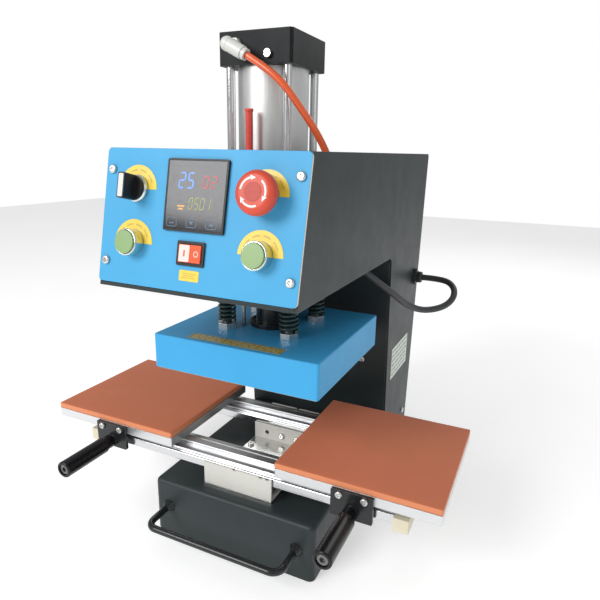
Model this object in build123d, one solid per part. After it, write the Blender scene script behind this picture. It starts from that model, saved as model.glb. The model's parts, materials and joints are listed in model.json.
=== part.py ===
from build123d import *
import math
import os

# Pneumatic two-station heat press. Units mm, +Z up, -Y is the operator's side.
# Origin: on the bench, under the axis of the air cylinder and the heated platen.

# ---- running and fitting clearances ----
RUN_FIT = 0.08          # radial, shaft in its own bearing
SLIP = 0.4              # between parts of different bodies that never touch
HOLE_SLACK = 0.15       # radial, screw in a plain hole

# ---- base box ----
BASE_W = 236.0
BASE_FRONT = -115.5
BASE_REAR = 303.0
BASE_H = 77.0
BASE_WALL = 2.5
BASE_FLOOR = 6.0
BASE_ROUND = 8.0
BENCH_BOLT_R = 4.2
BENCH_BOLT_INSET_X = 25.0
BENCH_BOLT_INSET_Y = 28.0

# ---- head and column shell ----
HEAD_W = 242.0
SHELL_T = 3.0
HEAD_TOP = 506.0
HEAD_UNDER = 360.0
FLOOR_T = 4.0
REAR_TOP_Y = 333.0
REAR_SLOPE = 0.0718     # mm of run per mm of height
COLUMN_TOP_Y = 139.5
COLUMN_SLOPE = 0.0739
LAP_BOTTOM = 10.0
SHELL_ROUND = 6.0

# ---- control panel ----
PANEL_W = 242.0
PANEL_H = 144.2
PANEL_T = 2.5
PANEL_TILT = 12.14      # degrees back from vertical
PANEL_BOTTOM_Y = -181.7
PANEL_BOTTOM_Z = 365.2
PANEL_ROUND = 5.0
PANEL_FLANGE = 14.0
CONTROL_U = 77.0
UPPER_V = 29.5
LOWER_V = -27.5
DISPLAY_U = -1.2
DISPLAY_V = 25.5
DISPLAY_SIDE = 72.8
ROCKER_U = -1.5
ROCKER_V = -32.5
PANEL_SCREW_U = 112.0
PANEL_SCREW_V = 49.0

# ---- operators on the panel ----
SLEEVE_R = 11.0
SLEEVE_BORE_R = 7.0
SLEEVE_LEN = 18.0
BEZEL_R = 14.2
BEZEL_H = 13.0
PLUNGER_PROUD = 2.0
PLUNGER_R = 12.2
PLUNGER_TRAVEL = 4.0
COLLAR_H = 5.0
ESTOP_R = 21.0
ESTOP_TRAVEL = 4.0
KNOB_R = 13.0
KNOB_TOP = 25.5
LEVER_HALF_W = 4.4
CONTACT_W = 30.0
CONTACT_H = 42.0
CONTACT_D = 34.0
LEGEND_R = 25.0
LEGEND_T = 0.35

# ---- air cylinder ----
BORE_R = 40.0
BARREL_R = 42.5
CAP_SIDE = 94.0
CAP_H = 35.5
CAP_CHAMFER = 3.0
CYL_TOP = 634.0
DECK_TOP = 406.0
DECK_T = 8.0
TIE_R = 5.0
TIE_PITCH = 74.0
TIE_NUT_FLATS = 15.5
TIE_NUT_RECESS_R = 9.4
ROD_R = 12.5
PISTON_H = 28.0
PISTON_GAP = 4.4

# ---- heated platen ----
PLATEN_W = 227.0
PLATEN_D = 212.5
PLATEN_TOP = 281.4
PLATEN_SKIRT = 237.0
PLATEN_WALL = 2.0
HEATER_FACE = 235.5
HEATER_T = 23.0
BOLT_X = 45.0
BOLT_Y = 42.0
BOLT_R = 6.0
NUT_H = 7.6
PRESS_PLATE_Z = 362.0
PRESS_PLATE_T = 10.0
PRESS_PLATE_W = 116.0
PRESS_PLATE_D = 110.0
BOSS_R = 22.0
SPRING_WIRE_R = 1.8
SPRING_MEAN_R = 10.2
SPRING_PITCH = 5.6
CONDUIT_X = -33.0
CONDUIT_Y = -20.0
CONDUIT_R = 2.6

# ---- sliding table ----
TRAY_W = 205.0
TRAY_D = 196.0
TRAY_BOTTOM = 118.4
TRAY_T = 12.2
PAD_T = 8.3
STATION_PITCH = 361.0
TABLE_REST_X = -23.4
RAIL_Y = 67.5
RAIL_L = 508.0
RAIL_RIB = 6.0          # half widths below
RAIL_HALF = 19.0
MEMBER_HALF = 25.5
MEMBER_TOP = 111.0
MEMBER_H = 12.0
MEMBER_L = 470.0
SLOT_HALF = 8.4
CAVITY_HALF = 14.4
END_BLOCK = 18.0
BRACKET_W = 100.0
BRACKET_HALF = 29.0
BRACKET_T = 2.5
INNER_FLANGE_TOP = 104.0
SOLE_T = 3.0

# ---- pull handles ----
HANDLE_Z = 105.0
HB_W = 52.0
HB_TOP = 130.0
HB_BOTTOM = 95.0
HB_T = 4.0
HB_SCREW_X = 15.5
HB_SCREW_Z = 124.0
SPINDLE_R = 4.0
GRIP_R = 11.0
GRIP_END_Y = -188.0

# ---- rear ports ----
INLET_X = -60.0
INLET_R = 6.8
MAINS_X = 55.0
PORT_Z = 140.0

# ---- front loop, cable and hose ----
LOOP_X = 95.0
LOOP_Y = -162.0
LOOP_Z = 41.0
LOOP_R = 4.5
LOOP_BEND = 14.0
CABLE_R = 5.0
CABLE_POINTS = [
    (136, 288, 303), (171, 288, 304), (192, 274, 297.5), (198, 250, 284), (186, 226, 272),
    (158, 205, 268), (139, 174, 283), (128, 140, 306), (110, 114, 327), (92, 98, 346),
]
HOSE_R = 4.0
HOSE_POINTS = [
    (0, -64, 605.5), (24, -64, 592), (46, -62, 574), (62, -57, 552), (77, -49, 529),
    (88, -40, 505), (94, -36, 487),
]
HOSE_HOLE = (88.0, -40.0)
VENT_X = -1.0
VENT_Y = -57.0
VENT_R = 4.2
VENT_TOP = 551.0

# ---- values that follow from the ones above ----
SIDE_X = HEAD_W / 2 - SHELL_T
TILT = math.radians(PANEL_TILT)
PANEL_MID = (
    0,
    PANEL_BOTTOM_Y + PANEL_H / 2 * math.sin(TILT),
    PANEL_BOTTOM_Z + PANEL_H / 2 * math.cos(TILT),
)
PANEL = Plane(origin=PANEL_MID, x_dir=(1, 0, 0), z_dir=(0, -math.cos(TILT), math.sin(TILT)))
CAP_BOTTOM = CYL_TOP - CAP_H
LOWER_CAP_TOP = DECK_TOP + CAP_H
PISTON_TOP = CAP_BOTTOM - PISTON_GAP
PRESS_PLATE_TOP = PRESS_PLATE_Z + PRESS_PLATE_T
TRAY_TOP = TRAY_BOTTOM + TRAY_T
PAD_TOP = TRAY_TOP + PAD_T
MEMBER_BOTTOM = MEMBER_TOP - MEMBER_H
RAIL_BOTTOM = MEMBER_TOP + SLIP
TABLE_REST_MID = TABLE_REST_X / 2
SOLE_TOP = BASE_H + SOLE_T
TRAY_FRONT = -TRAY_D / 2
HB_FRONT = TRAY_FRONT - HB_T


def block(x0, x1, y0, y1, z0, z1):
    """A box given by its two corners."""
    size = Box(x1 - x0, y1 - y0, z1 - z0)
    return Pos((x0 + x1) / 2, (y0 + y1) / 2, (z0 + z1) / 2) * size


def post(x, y, z0, z1, r):
    """A cylinder along Z."""
    return Pos(x, y, (z0 + z1) / 2) * Cylinder(r, z1 - z0)


def bar_x(y, z, x0, x1, r):
    """A cylinder along X."""
    return Pos((x0 + x1) / 2, y, z) * Rot(0, 90, 0) * Cylinder(r, x1 - x0)


def bar_y(x, z, y0, y1, r):
    """A cylinder along Y."""
    return Pos(x, (y0 + y1) / 2, z) * Rot(90, 0, 0) * Cylinder(r, y1 - y0)


def hex_post(x, y, z0, z1, flats):
    """A hexagonal prism along Z, given across its flats."""
    outline = RegularPolygon(flats / 2, 6, major_radius=False)
    return Pos(x, y, z0) * extrude(outline, z1 - z0)


def slab_yz(points, x0, x1):
    """A profile drawn in Y and Z, extruded along X."""
    wire = Polyline(*[(0, y, z) for y, z in points], close=True)
    return Pos(x0, 0, 0) * extrude(make_face(wire), x1 - x0, dir=(1, 0, 0))


def on_panel(shape, u=0.0, v=0.0):
    """Places a shape drawn with +Z outward at a point of the panel's front face."""
    return PANEL.location * Pos(u, v, 0) * shape


def disc(r, n0, n1):
    """A cylinder along the outward normal, between two heights."""
    return Pos(0, 0, (n0 + n1) / 2) * Cylinder(r, n1 - n0)


def plate_n(width, height, n0, n1):
    """A centred rectangular plate between two heights along the normal."""
    return Pos(0, 0, (n0 + n1) / 2) * Box(width, height, n1 - n0)


def rear_y(z):
    """Y of the rear face at a height."""
    return REAR_TOP_Y - (HEAD_TOP - z) * REAR_SLOPE


def column_y(z):
    """Y of the column's front face at a height."""
    return COLUMN_TOP_Y + (HEAD_UNDER - z) * COLUMN_SLOPE


def panel_back_y(z):
    """Y of the panel's rear face at a height."""
    run = (z - PANEL_BOTTOM_Z) * math.tan(TILT)
    return PANEL_BOTTOM_Y + run + PANEL_T / math.cos(TILT)


def pan_screw(length, head_r=4.8, head_h=3.2, shank_r=2.5):
    """A cross-recessed pan screw, head outward along +Z, seated at Z = 0."""
    head = Cylinder(head_r, head_h, align=(Align.CENTER, Align.CENTER, Align.MIN))
    head = fillet(head.edges().group_by(Axis.Z)[-1], head_h * 0.6)
    slot = Pos(0, 0, head_h) * (Box(4.6, 1.1, 2.4) + Box(1.1, 4.6, 2.4))
    shank = Pos(0, 0, -length / 2) * Cylinder(shank_r, length)
    return head - slot + shank


def facing(x, y, z, normal):
    """A location whose +Z points along a normal."""
    return Plane(origin=(x, y, z), z_dir=normal).location


def on_rear(x, z):
    """A location on the rear face, +Z outward and +X kept level."""
    slope = math.atan(REAR_SLOPE)
    normal = (0, math.cos(slope), -math.sin(slope))
    return Plane(origin=(x, rear_y(z), z), x_dir=(-1, 0, 0), z_dir=normal).location


def save(name, solids):
    """Writes one node, made of one or more separate solids."""
    group = solids if isinstance(solids, list) else [solids]
    shapes = []
    for item in group:
        shapes.extend(item.solids())
    target = shapes[0] if len(shapes) == 1 else Compound(children=shapes)
    export_step(target, f"parts/{name}.step")
    box = target.bounding_box()
    print(f"{name:22s} solids {len(shapes)}  volume {sum(s.volume for s in shapes):11.1f}"
          f"  z {box.min.Z:7.1f} {box.max.Z:7.1f}")


def bench_bolts():
    """Centres of the four bench bolt holes in the base floor."""
    xs = BASE_W / 2 - BENCH_BOLT_INSET_X
    front = BASE_FRONT + BENCH_BOLT_INSET_Y
    rear = BASE_REAR - BENCH_BOLT_INSET_Y
    return [(sx * xs, y) for sx in (-1, 1) for y in (front, rear)]


LAP_SCREWS = [(y, z) for y in (192.0, 272.0) for z in (24.0, 58.0)]
COLUMN_SCREWS = [(-79.5, 191.5), (79.5, 191.5)]
REAR_SCREWS = [(x, z) for x in (-104.0, 104.0) for z in (100.0, 300.0, 480.0)]
FOOT_SCREW_XY = [(x, y) for x in (-42.0, 42.0) for y in (-12.0, 12.0)]
INNER_SCREW_X = [-4.0, 21.0]
INNER_HOLE_X = [-29.0]
INNER_SCREW_Z = 91.0
SHANK = 2.5


def screw_places():
    """Locations of the frame's identical pan screws, each with its outward normal."""
    places = []
    for sx in (-1, 1):
        for y, z in LAP_SCREWS:
            places.append(facing(sx * HEAD_W / 2, y, z, (sx, 0, 0)))
    slope = math.atan(COLUMN_SLOPE)
    for x, z in COLUMN_SCREWS:
        normal = (0, -math.cos(slope), -math.sin(slope))
        places.append(facing(x, column_y(z), z, normal))
    back = math.atan(REAR_SLOPE)
    for x, z in REAR_SCREWS:
        places.append(facing(x, rear_y(z), z, (0, math.cos(back), -math.sin(back))))
    for u in (-PANEL_SCREW_U, PANEL_SCREW_U):
        for v in (-PANEL_SCREW_V, PANEL_SCREW_V):
            places.append(PANEL.location * Pos(u, v, 0))
    for x, y in FOOT_SCREW_XY:
        places.append(facing(x, y, SOLE_TOP, (0, 0, 1)))
    for sy in (-1, 1):
        for x in INNER_SCREW_X:
            face = sy * (RAIL_Y - BRACKET_HALF)
            places.append(facing(x, face, INNER_SCREW_Z, (0, -sy, 0)))
    return places


def screw_holes():
    """Clearance for every frame screw, cut from whatever it passes through."""
    drill = Pos(0, 0, -4) * Cylinder(SHANK + HOLE_SLACK, 12)
    return [place * drill for place in screw_places()]


def drilled(shape):
    """A frame part with the screw holes that meet it."""
    for hole in screw_holes():
        shape = shape - hole
    return shape


def base_box():
    """The welded base: a rounded sheet box on a thick floor."""
    outer = block(-BASE_W / 2, BASE_W / 2, BASE_FRONT, BASE_REAR, 0, BASE_H)
    outer = fillet(outer.edges().filter_by(Axis.Z), BASE_ROUND)
    outer = fillet(outer.faces().sort_by(Axis.Z)[-1].edges(), BASE_ROUND - 2)
    inner = block(
        -BASE_W / 2 + BASE_WALL, BASE_W / 2 - BASE_WALL,
        BASE_FRONT + BASE_WALL, BASE_REAR - BASE_WALL, BASE_FLOOR, BASE_H - BASE_WALL,
    )
    inner = fillet(inner.edges().filter_by(Axis.Z), BASE_ROUND - BASE_WALL)
    inner = fillet(inner.faces().sort_by(Axis.Z)[-1].edges(), BASE_ROUND - 2 - BASE_WALL + 0.5)
    shape = outer - inner
    for x, y in bench_bolts():
        shape = shape - post(x, y, -1, BASE_FLOOR + 1, BENCH_BOLT_R)
    return drilled(shape)


def side_plates():
    """The two side plates, each with the folded flange the panel screws to."""
    outline = [
        (panel_back_y(HEAD_UNDER), HEAD_UNDER),
        (panel_back_y(HEAD_TOP), HEAD_TOP),
        (rear_y(HEAD_TOP), HEAD_TOP),
        (rear_y(LAP_BOTTOM), LAP_BOTTOM),
        (column_y(LAP_BOTTOM), LAP_BOTTOM),
        (column_y(HEAD_UNDER), HEAD_UNDER),
    ]
    plates = []
    for sx in (-1, 1):
        x0, x1 = (SIDE_X, HEAD_W / 2) if sx > 0 else (-HEAD_W / 2, -SIDE_X)
        plate = slab_yz(outline, x0, x1)
        across = plate.edges().filter_by(Axis.X)
        corner = across.sort_by(lambda e: (e.center() - Vector(e.center().X, REAR_TOP_Y, HEAD_TOP)).length)[0]
        plate = fillet(corner, SHELL_ROUND)
        across = plate.edges().filter_by(Axis.X)
        inner = across.sort_by(lambda e: (e.center() - Vector(e.center().X, COLUMN_TOP_Y, HEAD_UNDER)).length)[0]
        plate = fillet(inner, SHELL_ROUND * 2)
        flange = plate_n(PANEL_FLANGE, PANEL_H - 12, -PANEL_T - 2, -PANEL_T)
        plate = plate + on_panel(flange, sx * (SIDE_X - PANEL_FLANGE / 2), 0)
        plates.append(drilled(plate))
    gland = bar_x(CABLE_POINTS[0][1], CABLE_POINTS[0][2], 100, 140, 6.5)
    plates[1] = plates[1] - gland
    return plates


def frame_liner():
    """One bent sheet: the floor of the head and the front of the column."""
    front = panel_back_y(HEAD_UNDER)
    knee = column_y(HEAD_UNDER + FLOOR_T) + FLOOR_T
    outline = [
        (front, HEAD_UNDER),
        (column_y(HEAD_UNDER), HEAD_UNDER),
        (column_y(BASE_H), BASE_H),
        (column_y(BASE_H) + FLOOR_T, BASE_H),
        (knee, HEAD_UNDER + FLOOR_T),
        (front, HEAD_UNDER + FLOOR_T),
    ]
    sheet = slab_yz(outline, -SIDE_X, SIDE_X)
    gap = 5.0
    sheet = sheet - block(
        -PRESS_PLATE_W / 2 - gap, PRESS_PLATE_W / 2 + gap,
        -PRESS_PLATE_D / 2 - gap, PRESS_PLATE_D / 2 + gap, HEAD_UNDER - 2, HEAD_UNDER + FLOOR_T + 2,
    )
    gx, gy = gland_foot()
    sheet = sheet - post(gx, gy, HEAD_UNDER - 2, HEAD_UNDER + FLOOR_T + 2, 6.5)
    return drilled(sheet)


def frame_wrap():
    """One bent sheet: the top of the head and the rear of the column."""
    front = panel_back_y(HEAD_TOP)
    outline = [
        (front, HEAD_TOP),
        (rear_y(HEAD_TOP), HEAD_TOP),
        (rear_y(BASE_H), BASE_H),
        (rear_y(BASE_H) - SHELL_T, BASE_H),
        (rear_y(HEAD_TOP - SHELL_T) - SHELL_T, HEAD_TOP - SHELL_T),
        (front, HEAD_TOP - SHELL_T),
    ]
    sheet = slab_yz(outline, -SIDE_X, SIDE_X)
    across = sheet.edges().filter_by(Axis.X)
    corner = across.sort_by(lambda e: (e.center() - Vector(e.center().X, REAR_TOP_Y, HEAD_TOP)).length)[0]
    sheet = fillet(corner, SHELL_ROUND)
    half = CAP_SIDE / 2 + 4
    sheet = sheet - block(-half, half, VENT_Y - VENT_R - 3, half, HEAD_TOP - 8, HEAD_TOP + 8)
    sheet = sheet - post(HOSE_HOLE[0], HOSE_HOLE[1], HEAD_TOP - 8, HEAD_TOP + 8, HOSE_R + 4)
    for i in range(9):
        z = 330.0 + 12 * i
        sheet = sheet - block(-60, 60, rear_y(z) - 8, rear_y(z) + 8, z, z + 4)
    sheet = sheet - on_rear(INLET_X, PORT_Z) * disc(INLET_R + HOLE_SLACK, -12, 12)
    sheet = sheet - on_rear(MAINS_X, PORT_Z) * plate_n(28.3, 20.3, -12, 12)
    return drilled(sheet)




def control_panel():
    """The blue front plate with its openings."""
    plate = plate_n(PANEL_W, PANEL_H, -PANEL_T, 0)
    plate = fillet(plate.edges().filter_by(Axis.Z), PANEL_ROUND)
    for u in (-CONTROL_U, CONTROL_U):
        for v in (UPPER_V, LOWER_V):
            plate = plate - Pos(u, v, 0) * Cylinder(SLEEVE_R + HOLE_SLACK, 12)
    plate = plate - Pos(DISPLAY_U, DISPLAY_V, 0) * Box(68, 68, 12)
    plate = plate - Pos(ROCKER_U, ROCKER_V, 0) * Box(28.4, 21.8, 12)
    plate = drilled(PANEL.location * plate)
    return plate


def display_housing():
    """The square temperature controller: bezel, pocket and body."""
    bezel = fillet(plate_n(DISPLAY_SIDE, DISPLAY_SIDE, 0, 3).edges().filter_by(Axis.Z), 2)
    body = plate_n(67.4, 67.4, -60, 0)
    pocket = plate_n(69.0, 69.0, 1.8, 4)
    return on_panel(bezel + body - pocket, DISPLAY_U, DISPLAY_V)


def display_window():
    """The dark window that fills the controller's bezel."""
    return on_panel(plate_n(68.9, 68.9, 1.8, 2.9), DISPLAY_U, DISPLAY_V)


def operator_sleeve():
    """The threaded sleeve of a panel operator, behind the panel's face."""
    return disc(SLEEVE_R, -SLEEVE_LEN, 0) - disc(SLEEVE_BORE_R, -SLEEVE_LEN - 1, 1)


def button_bezels():
    """Two tall bezels around the green push-buttons."""
    ring = disc(BEZEL_R, 0, BEZEL_H)
    ring = fillet(ring.edges().group_by(Axis.Z)[-1], 1.2)
    ring = ring - disc(PLUNGER_R + SLIP, 1.0, BEZEL_H + 1) - disc(SLEEVE_BORE_R, -1, 2)
    body = ring + operator_sleeve()
    return [on_panel(body, u, LOWER_V) for u in (-CONTROL_U, CONTROL_U)]


def short_collars():
    """Two low collars, under the selector and under the mushroom head."""
    ring = disc(BEZEL_R, 0, COLLAR_H)
    ring = chamfer(ring.edges().group_by(Axis.Z)[-1], 1.5)
    ring = ring - disc(SLEEVE_BORE_R, -1, COLLAR_H + 1)
    body = ring + operator_sleeve()
    return [on_panel(body, u, UPPER_V) for u in (-CONTROL_U, CONTROL_U)]


def contact_blocks():
    """Four contact blocks clipped to the rear of the sleeves."""
    body = plate_n(CONTACT_W, CONTACT_H, -SLEEVE_LEN - CONTACT_D, -SLEEVE_LEN)
    body = body - disc(SLEEVE_BORE_R + 0.5, -SLEEVE_LEN - 10, -SLEEVE_LEN + 1)
    blocks = []
    for u in (-CONTROL_U, CONTROL_U):
        for v in (UPPER_V, LOWER_V):
            blocks.append(on_panel(body, u, v))
    return blocks


def plunger(side):
    """A green push-button: head and stem."""
    top = BEZEL_H + PLUNGER_PROUD
    head = disc(PLUNGER_R, top - 9, top)
    head = fillet(head.edges().group_by(Axis.Z)[-1], 0.8)
    stem = disc(SLEEVE_BORE_R - RUN_FIT, -SLEEVE_LEN + 3, top - 9)
    return on_panel(head + stem, side * CONTROL_U, LOWER_V)


def estop_stem():
    """The pushed stem of the emergency stop."""
    return on_panel(disc(SLEEVE_BORE_R - RUN_FIT, -SLEEVE_LEN + 3, 17.0), CONTROL_U, UPPER_V)


def estop_head():
    """The mushroom head that twists on the stem."""
    under = COLLAR_H + ESTOP_TRAVEL + 0.6
    skirt = disc(BEZEL_R - 1, under, 16)
    dome = disc(ESTOP_R, 14.5, 25.5)
    dome = fillet(dome.edges().group_by(Axis.Z)[-1], 6.5)
    dome = fillet(dome.edges().group_by(Axis.Z)[0], 1.5)
    bore = disc(SLEEVE_BORE_R, 0, 17.0 + SLIP)
    return on_panel(skirt + dome - bore, CONTROL_U, UPPER_V)


def selector_knob():
    """The black lever knob with its shaft."""
    foot = disc(KNOB_R, COLLAR_H + SLIP, COLLAR_H + 4)
    lever = plate_n(LEVER_HALF_W * 2, KNOB_R * 2, COLLAR_H + 3, KNOB_TOP)
    lever = fillet(lever.edges().filter_by(Axis.Z), 2.0)
    shaft = disc(SLEEVE_BORE_R - RUN_FIT, -SLEEVE_LEN + 3, COLLAR_H + 1)
    return on_panel(foot + lever + shaft, -CONTROL_U, UPPER_V)


ROCKER_PIVOT_N = -4.0
ROCKER_SWING = 7.0


def rocker_housing():
    """The snap-in frame of the power rocker."""
    frame = fillet(plate_n(33.0, 25.0, 0, 2).edges().filter_by(Axis.Z), 1.5)
    body = plate_n(28.0, 21.4, -24, 0)
    cavity = plate_n(26.4, 18.8, -18, 3)
    return on_panel(frame + body - cavity, ROCKER_U, ROCKER_V)


def rocker_switch():
    """The lit rocker, tipped about an axis that runs up the panel."""
    points = [(-12.2, 5.0), (0, 2.4), (12.2, 5.0), (12.2, -1.0), (5.0, -9.0), (-5.0, -9.0), (-12.2, -1.0)]
    wire = Polyline(*[(u, 0, n) for u, n in points], close=True)
    cap = extrude(make_face(wire), 9.0, dir=(0, 1, 0), both=True)
    tipped = Pos(0, 0, ROCKER_PIVOT_N) * Rot(0, ROCKER_SWING, 0) * Pos(0, 0, -ROCKER_PIVOT_N) * cap
    return on_panel(tipped, ROCKER_U, ROCKER_V)


def control_labels():
    """Four half-ring legend plates and one small plate under the rocker."""
    ring = disc(LEGEND_R, 0, LEGEND_T) - disc(BEZEL_R + 0.3, -1, 1)
    half = ring - Pos(0, -LEGEND_R, 0) * Box(LEGEND_R * 3, LEGEND_R * 2, 4)
    labels = []
    for u in (-CONTROL_U, CONTROL_U):
        for v in (UPPER_V, LOWER_V):
            labels.append(on_panel(half, u, v))
    strip = fillet(plate_n(24, 11, 0, LEGEND_T).edges().filter_by(Axis.Z), 1.5)
    labels.append(on_panel(strip, -2, -55))
    return labels


def tie_centres():
    """Plan positions of the four tie rods."""
    half = TIE_PITCH / 2
    return [(sx * half, sy * half) for sx in (-1, 1) for sy in (-1, 1)]


def bolt_centres():
    """Plan positions of the four suspension bolts."""
    return [(sx * BOLT_X, sy * BOLT_Y) for sx in (-1, 1) for sy in (-1, 1)]


def cylinder_cap(z0, z1):
    """A square cylinder cap with chamfered upright edges and tie rod holes."""
    half = CAP_SIDE / 2
    cap = block(-half, half, -half, half, z0, z1)
    cap = chamfer(cap.edges().filter_by(Axis.Z), CAP_CHAMFER)
    for x, y in tie_centres():
        cap = cap - post(x, y, z0 - 1, z1 + 1, TIE_R + HOLE_SLACK)
    return cap


ELBOW_X = -24.0
ELBOW_Z = 618.0
VENT_PORT_Z = DECK_TOP + 18.0
NEEDLE_X = 18.0
NEEDLE_Z = 609.0
PORT_R = 5.0


def cylinder_upper_cap():
    """The top cap, with its air port, cushion screw hole and nut recesses."""
    cap = cylinder_cap(CAP_BOTTOM, CYL_TOP)
    for x, y in tie_centres():
        cap = cap - post(x, y, CYL_TOP - 12, CYL_TOP + 1, TIE_NUT_RECESS_R)
    cap = cap - bar_y(ELBOW_X, ELBOW_Z, -CAP_SIDE / 2 - 1, -17, PORT_R)
    cap = cap - post(ELBOW_X, -24, CAP_BOTTOM - 1, ELBOW_Z, PORT_R - 1.5)
    cap = cap - bar_y(NEEDLE_X, NEEDLE_Z, -CAP_SIDE / 2 - 1, -30, 3.0)
    return cap


def cylinder_lower_cap():
    """The bottom cap, bored for the piston rod, with the vent port."""
    cap = cylinder_cap(DECK_TOP, LOWER_CAP_TOP)
    cap = cap - post(0, 0, DECK_TOP - 1, LOWER_CAP_TOP + 1, ROD_R + RUN_FIT)
    cap = cap - bar_y(VENT_X, VENT_PORT_Z, -CAP_SIDE / 2 - 1, -20, PORT_R)
    cap = cap - post(VENT_X, -27, VENT_PORT_Z, LOWER_CAP_TOP + 1, PORT_R - 1.5)
    return cap


def cylinder_barrel():
    """The honed barrel between the caps."""
    tube = post(0, 0, LOWER_CAP_TOP, CAP_BOTTOM, BARREL_R)
    return tube - post(0, 0, LOWER_CAP_TOP - 1, CAP_BOTTOM + 1, BORE_R)


def cylinder_deck():
    """The plate inside the head that carries the cylinder."""
    deck = block(-SIDE_X, SIDE_X, -72, 72, DECK_TOP - DECK_T, DECK_TOP)
    deck = deck - post(0, 0, DECK_TOP - DECK_T - 1, DECK_TOP + 1, ROD_R + 4)
    for x, y in tie_centres():
        deck = deck - post(x, y, DECK_TOP - DECK_T - 1, DECK_TOP + 1, TIE_R + HOLE_SLACK)
    return deck


def tie_rods():
    """Four tie rods through both caps and the deck."""
    low = DECK_TOP - DECK_T - 10
    return [post(x, y, low, CYL_TOP - 2, TIE_R) for x, y in tie_centres()]


def tie_rod_nuts():
    """Nuts in the top cap's recesses and under the deck."""
    nuts = []
    for x, y in tie_centres():
        for z0 in (CYL_TOP - 12, DECK_TOP - DECK_T - 8):
            nut = hex_post(x, y, z0, z0 + 8, TIE_NUT_FLATS) - post(x, y, z0 - 1, z0 + 9, TIE_R)
            nuts.append(nut)
    return nuts


def air_elbows():
    """Push-in elbows on the two cylinder ports."""
    face = -CAP_SIDE / 2
    top_seat = bar_y(ELBOW_X, ELBOW_Z, face, -34, PORT_R - 0.2)
    top_hex = Pos(ELBOW_X, face - 6, ELBOW_Z) * Rot(-90, 0, 0) * extrude(
        RegularPolygon(8, 6, major_radius=False), 6)
    knee_y = HOSE_POINTS[0][1]
    top_stem = bar_y(ELBOW_X, ELBOW_Z, knee_y, face, 7)
    start = Vector(ELBOW_X, knee_y, ELBOW_Z)
    end = Vector(*HOSE_POINTS[0])
    way = (end - start).normalized()
    arm_len = (end - start).length
    arm = Plane(origin=start, z_dir=way).location * disc(7.5, -2, arm_len - 5)
    collar = Plane(origin=start, z_dir=way).location * disc(6.6, arm_len - 5, arm_len)
    upper = top_seat + top_hex + top_stem + Pos(*start) * Sphere(8) + arm + collar
    hose_way = Vector(*HOSE_POINTS[1]) - end
    upper = upper - Plane(origin=end, z_dir=hose_way).location * disc(9, 0, 12)
    low_seat = bar_y(VENT_X, VENT_PORT_Z, face, -34, PORT_R - 0.2)
    low_stem = bar_y(VENT_X, VENT_PORT_Z, VENT_Y, face, 6)
    low_arm = post(VENT_X, VENT_Y, VENT_PORT_Z, VENT_PORT_Z + 16, 6)
    lower = low_seat + low_stem + Pos(VENT_X, VENT_Y, VENT_PORT_Z) * Sphere(6.5) + low_arm
    return [upper, lower]


def cushion_screw():
    """The slotted cushion screw in the top cap's front face."""
    face = -CAP_SIDE / 2
    body = bar_y(NEEDLE_X, NEEDLE_Z, face, -32, 2.9) + bar_y(NEEDLE_X, NEEDLE_Z, face - 4, face, 4.5)
    return body - Pos(NEEDLE_X, face - 4, NEEDLE_Z) * Box(10, 2.4, 1.2)


def vent_tube():
    """The open upright tube on the lower port."""
    base = VENT_PORT_Z + 16
    tube = post(VENT_X, VENT_Y, base, VENT_TOP, VENT_R) + post(VENT_X, VENT_Y, VENT_TOP - 3, VENT_TOP, VENT_R + 0.6)
    return tube - post(VENT_X, VENT_Y, base + 4, VENT_TOP + 1, VENT_R - 1.2)


def corner_radius(points, index):
    """The bend radius at one point of a path, from the shorter of its two runs."""
    a, b, c = (Vector(*points[index + k]) for k in (-1, 0, 1))
    turn = (b - a).get_angle(c - b)
    shorter = min((b - a).length, (c - b).length)
    return 0.45 * shorter / math.tan(math.radians(turn) / 2)


def bent_path(points):
    """Straight runs joined by tangent arcs, one radius for each corner."""
    cursor = Vector(*points[0])
    edges = []
    for i in range(1, len(points) - 1):
        a, b, c = (Vector(*points[i + k]) for k in (-1, 0, 1))
        into = (b - a).normalized()
        out = (c - b).normalized()
        turn = math.radians(into.get_angle(out))
        reach = corner_radius(points, i) * math.tan(turn / 2)
        first = b - into * reach
        last = b + out * reach
        edges.append(Line(cursor, first))
        arc = TangentArc(first, last, tangent=into)
        edges.append(arc)
        cursor = last
    edges.append(Line(cursor, Vector(*points[-1])))
    return Wire(edges)


def flexible(points, radius, label):
    """A flexible tube swept on its path; prints its bend radii and its volume."""
    path = bent_path(points)
    section = Plane(origin=points[0], z_dir=path % 0) * Circle(radius)
    tube = sweep(section, path=path)
    radii = [round(corner_radius(points, i), 1) for i in range(1, len(points) - 1)]
    ratio = tube.volume / (math.pi * radius ** 2 * path.length)
    print(f"{label}: length {path.length:.1f} radii {radii} volume ratio {ratio:.4f}")
    return tube


def solenoid_valve():
    """The valve inside the head that feeds the cylinder."""
    x, y, z = HOSE_POINTS[-1]
    body = block(x - 13, SIDE_X, y - 24, y + 26, z - 46, z - 8) + post(x, y, z - 10, z, 7)
    hose_way = Vector(*HOSE_POINTS[-2]) - Vector(x, y, z)
    return body - Plane(origin=(x, y, z), z_dir=hose_way).location * disc(9, 0, 12)


def gland_foot():
    """Plan position where the cable enters the floor of the head."""
    a, b = (Vector(*p) for p in CABLE_POINTS[-2:])
    way = (b - a).normalized()
    end = b + way * 9
    return end.X, end.Y


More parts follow.
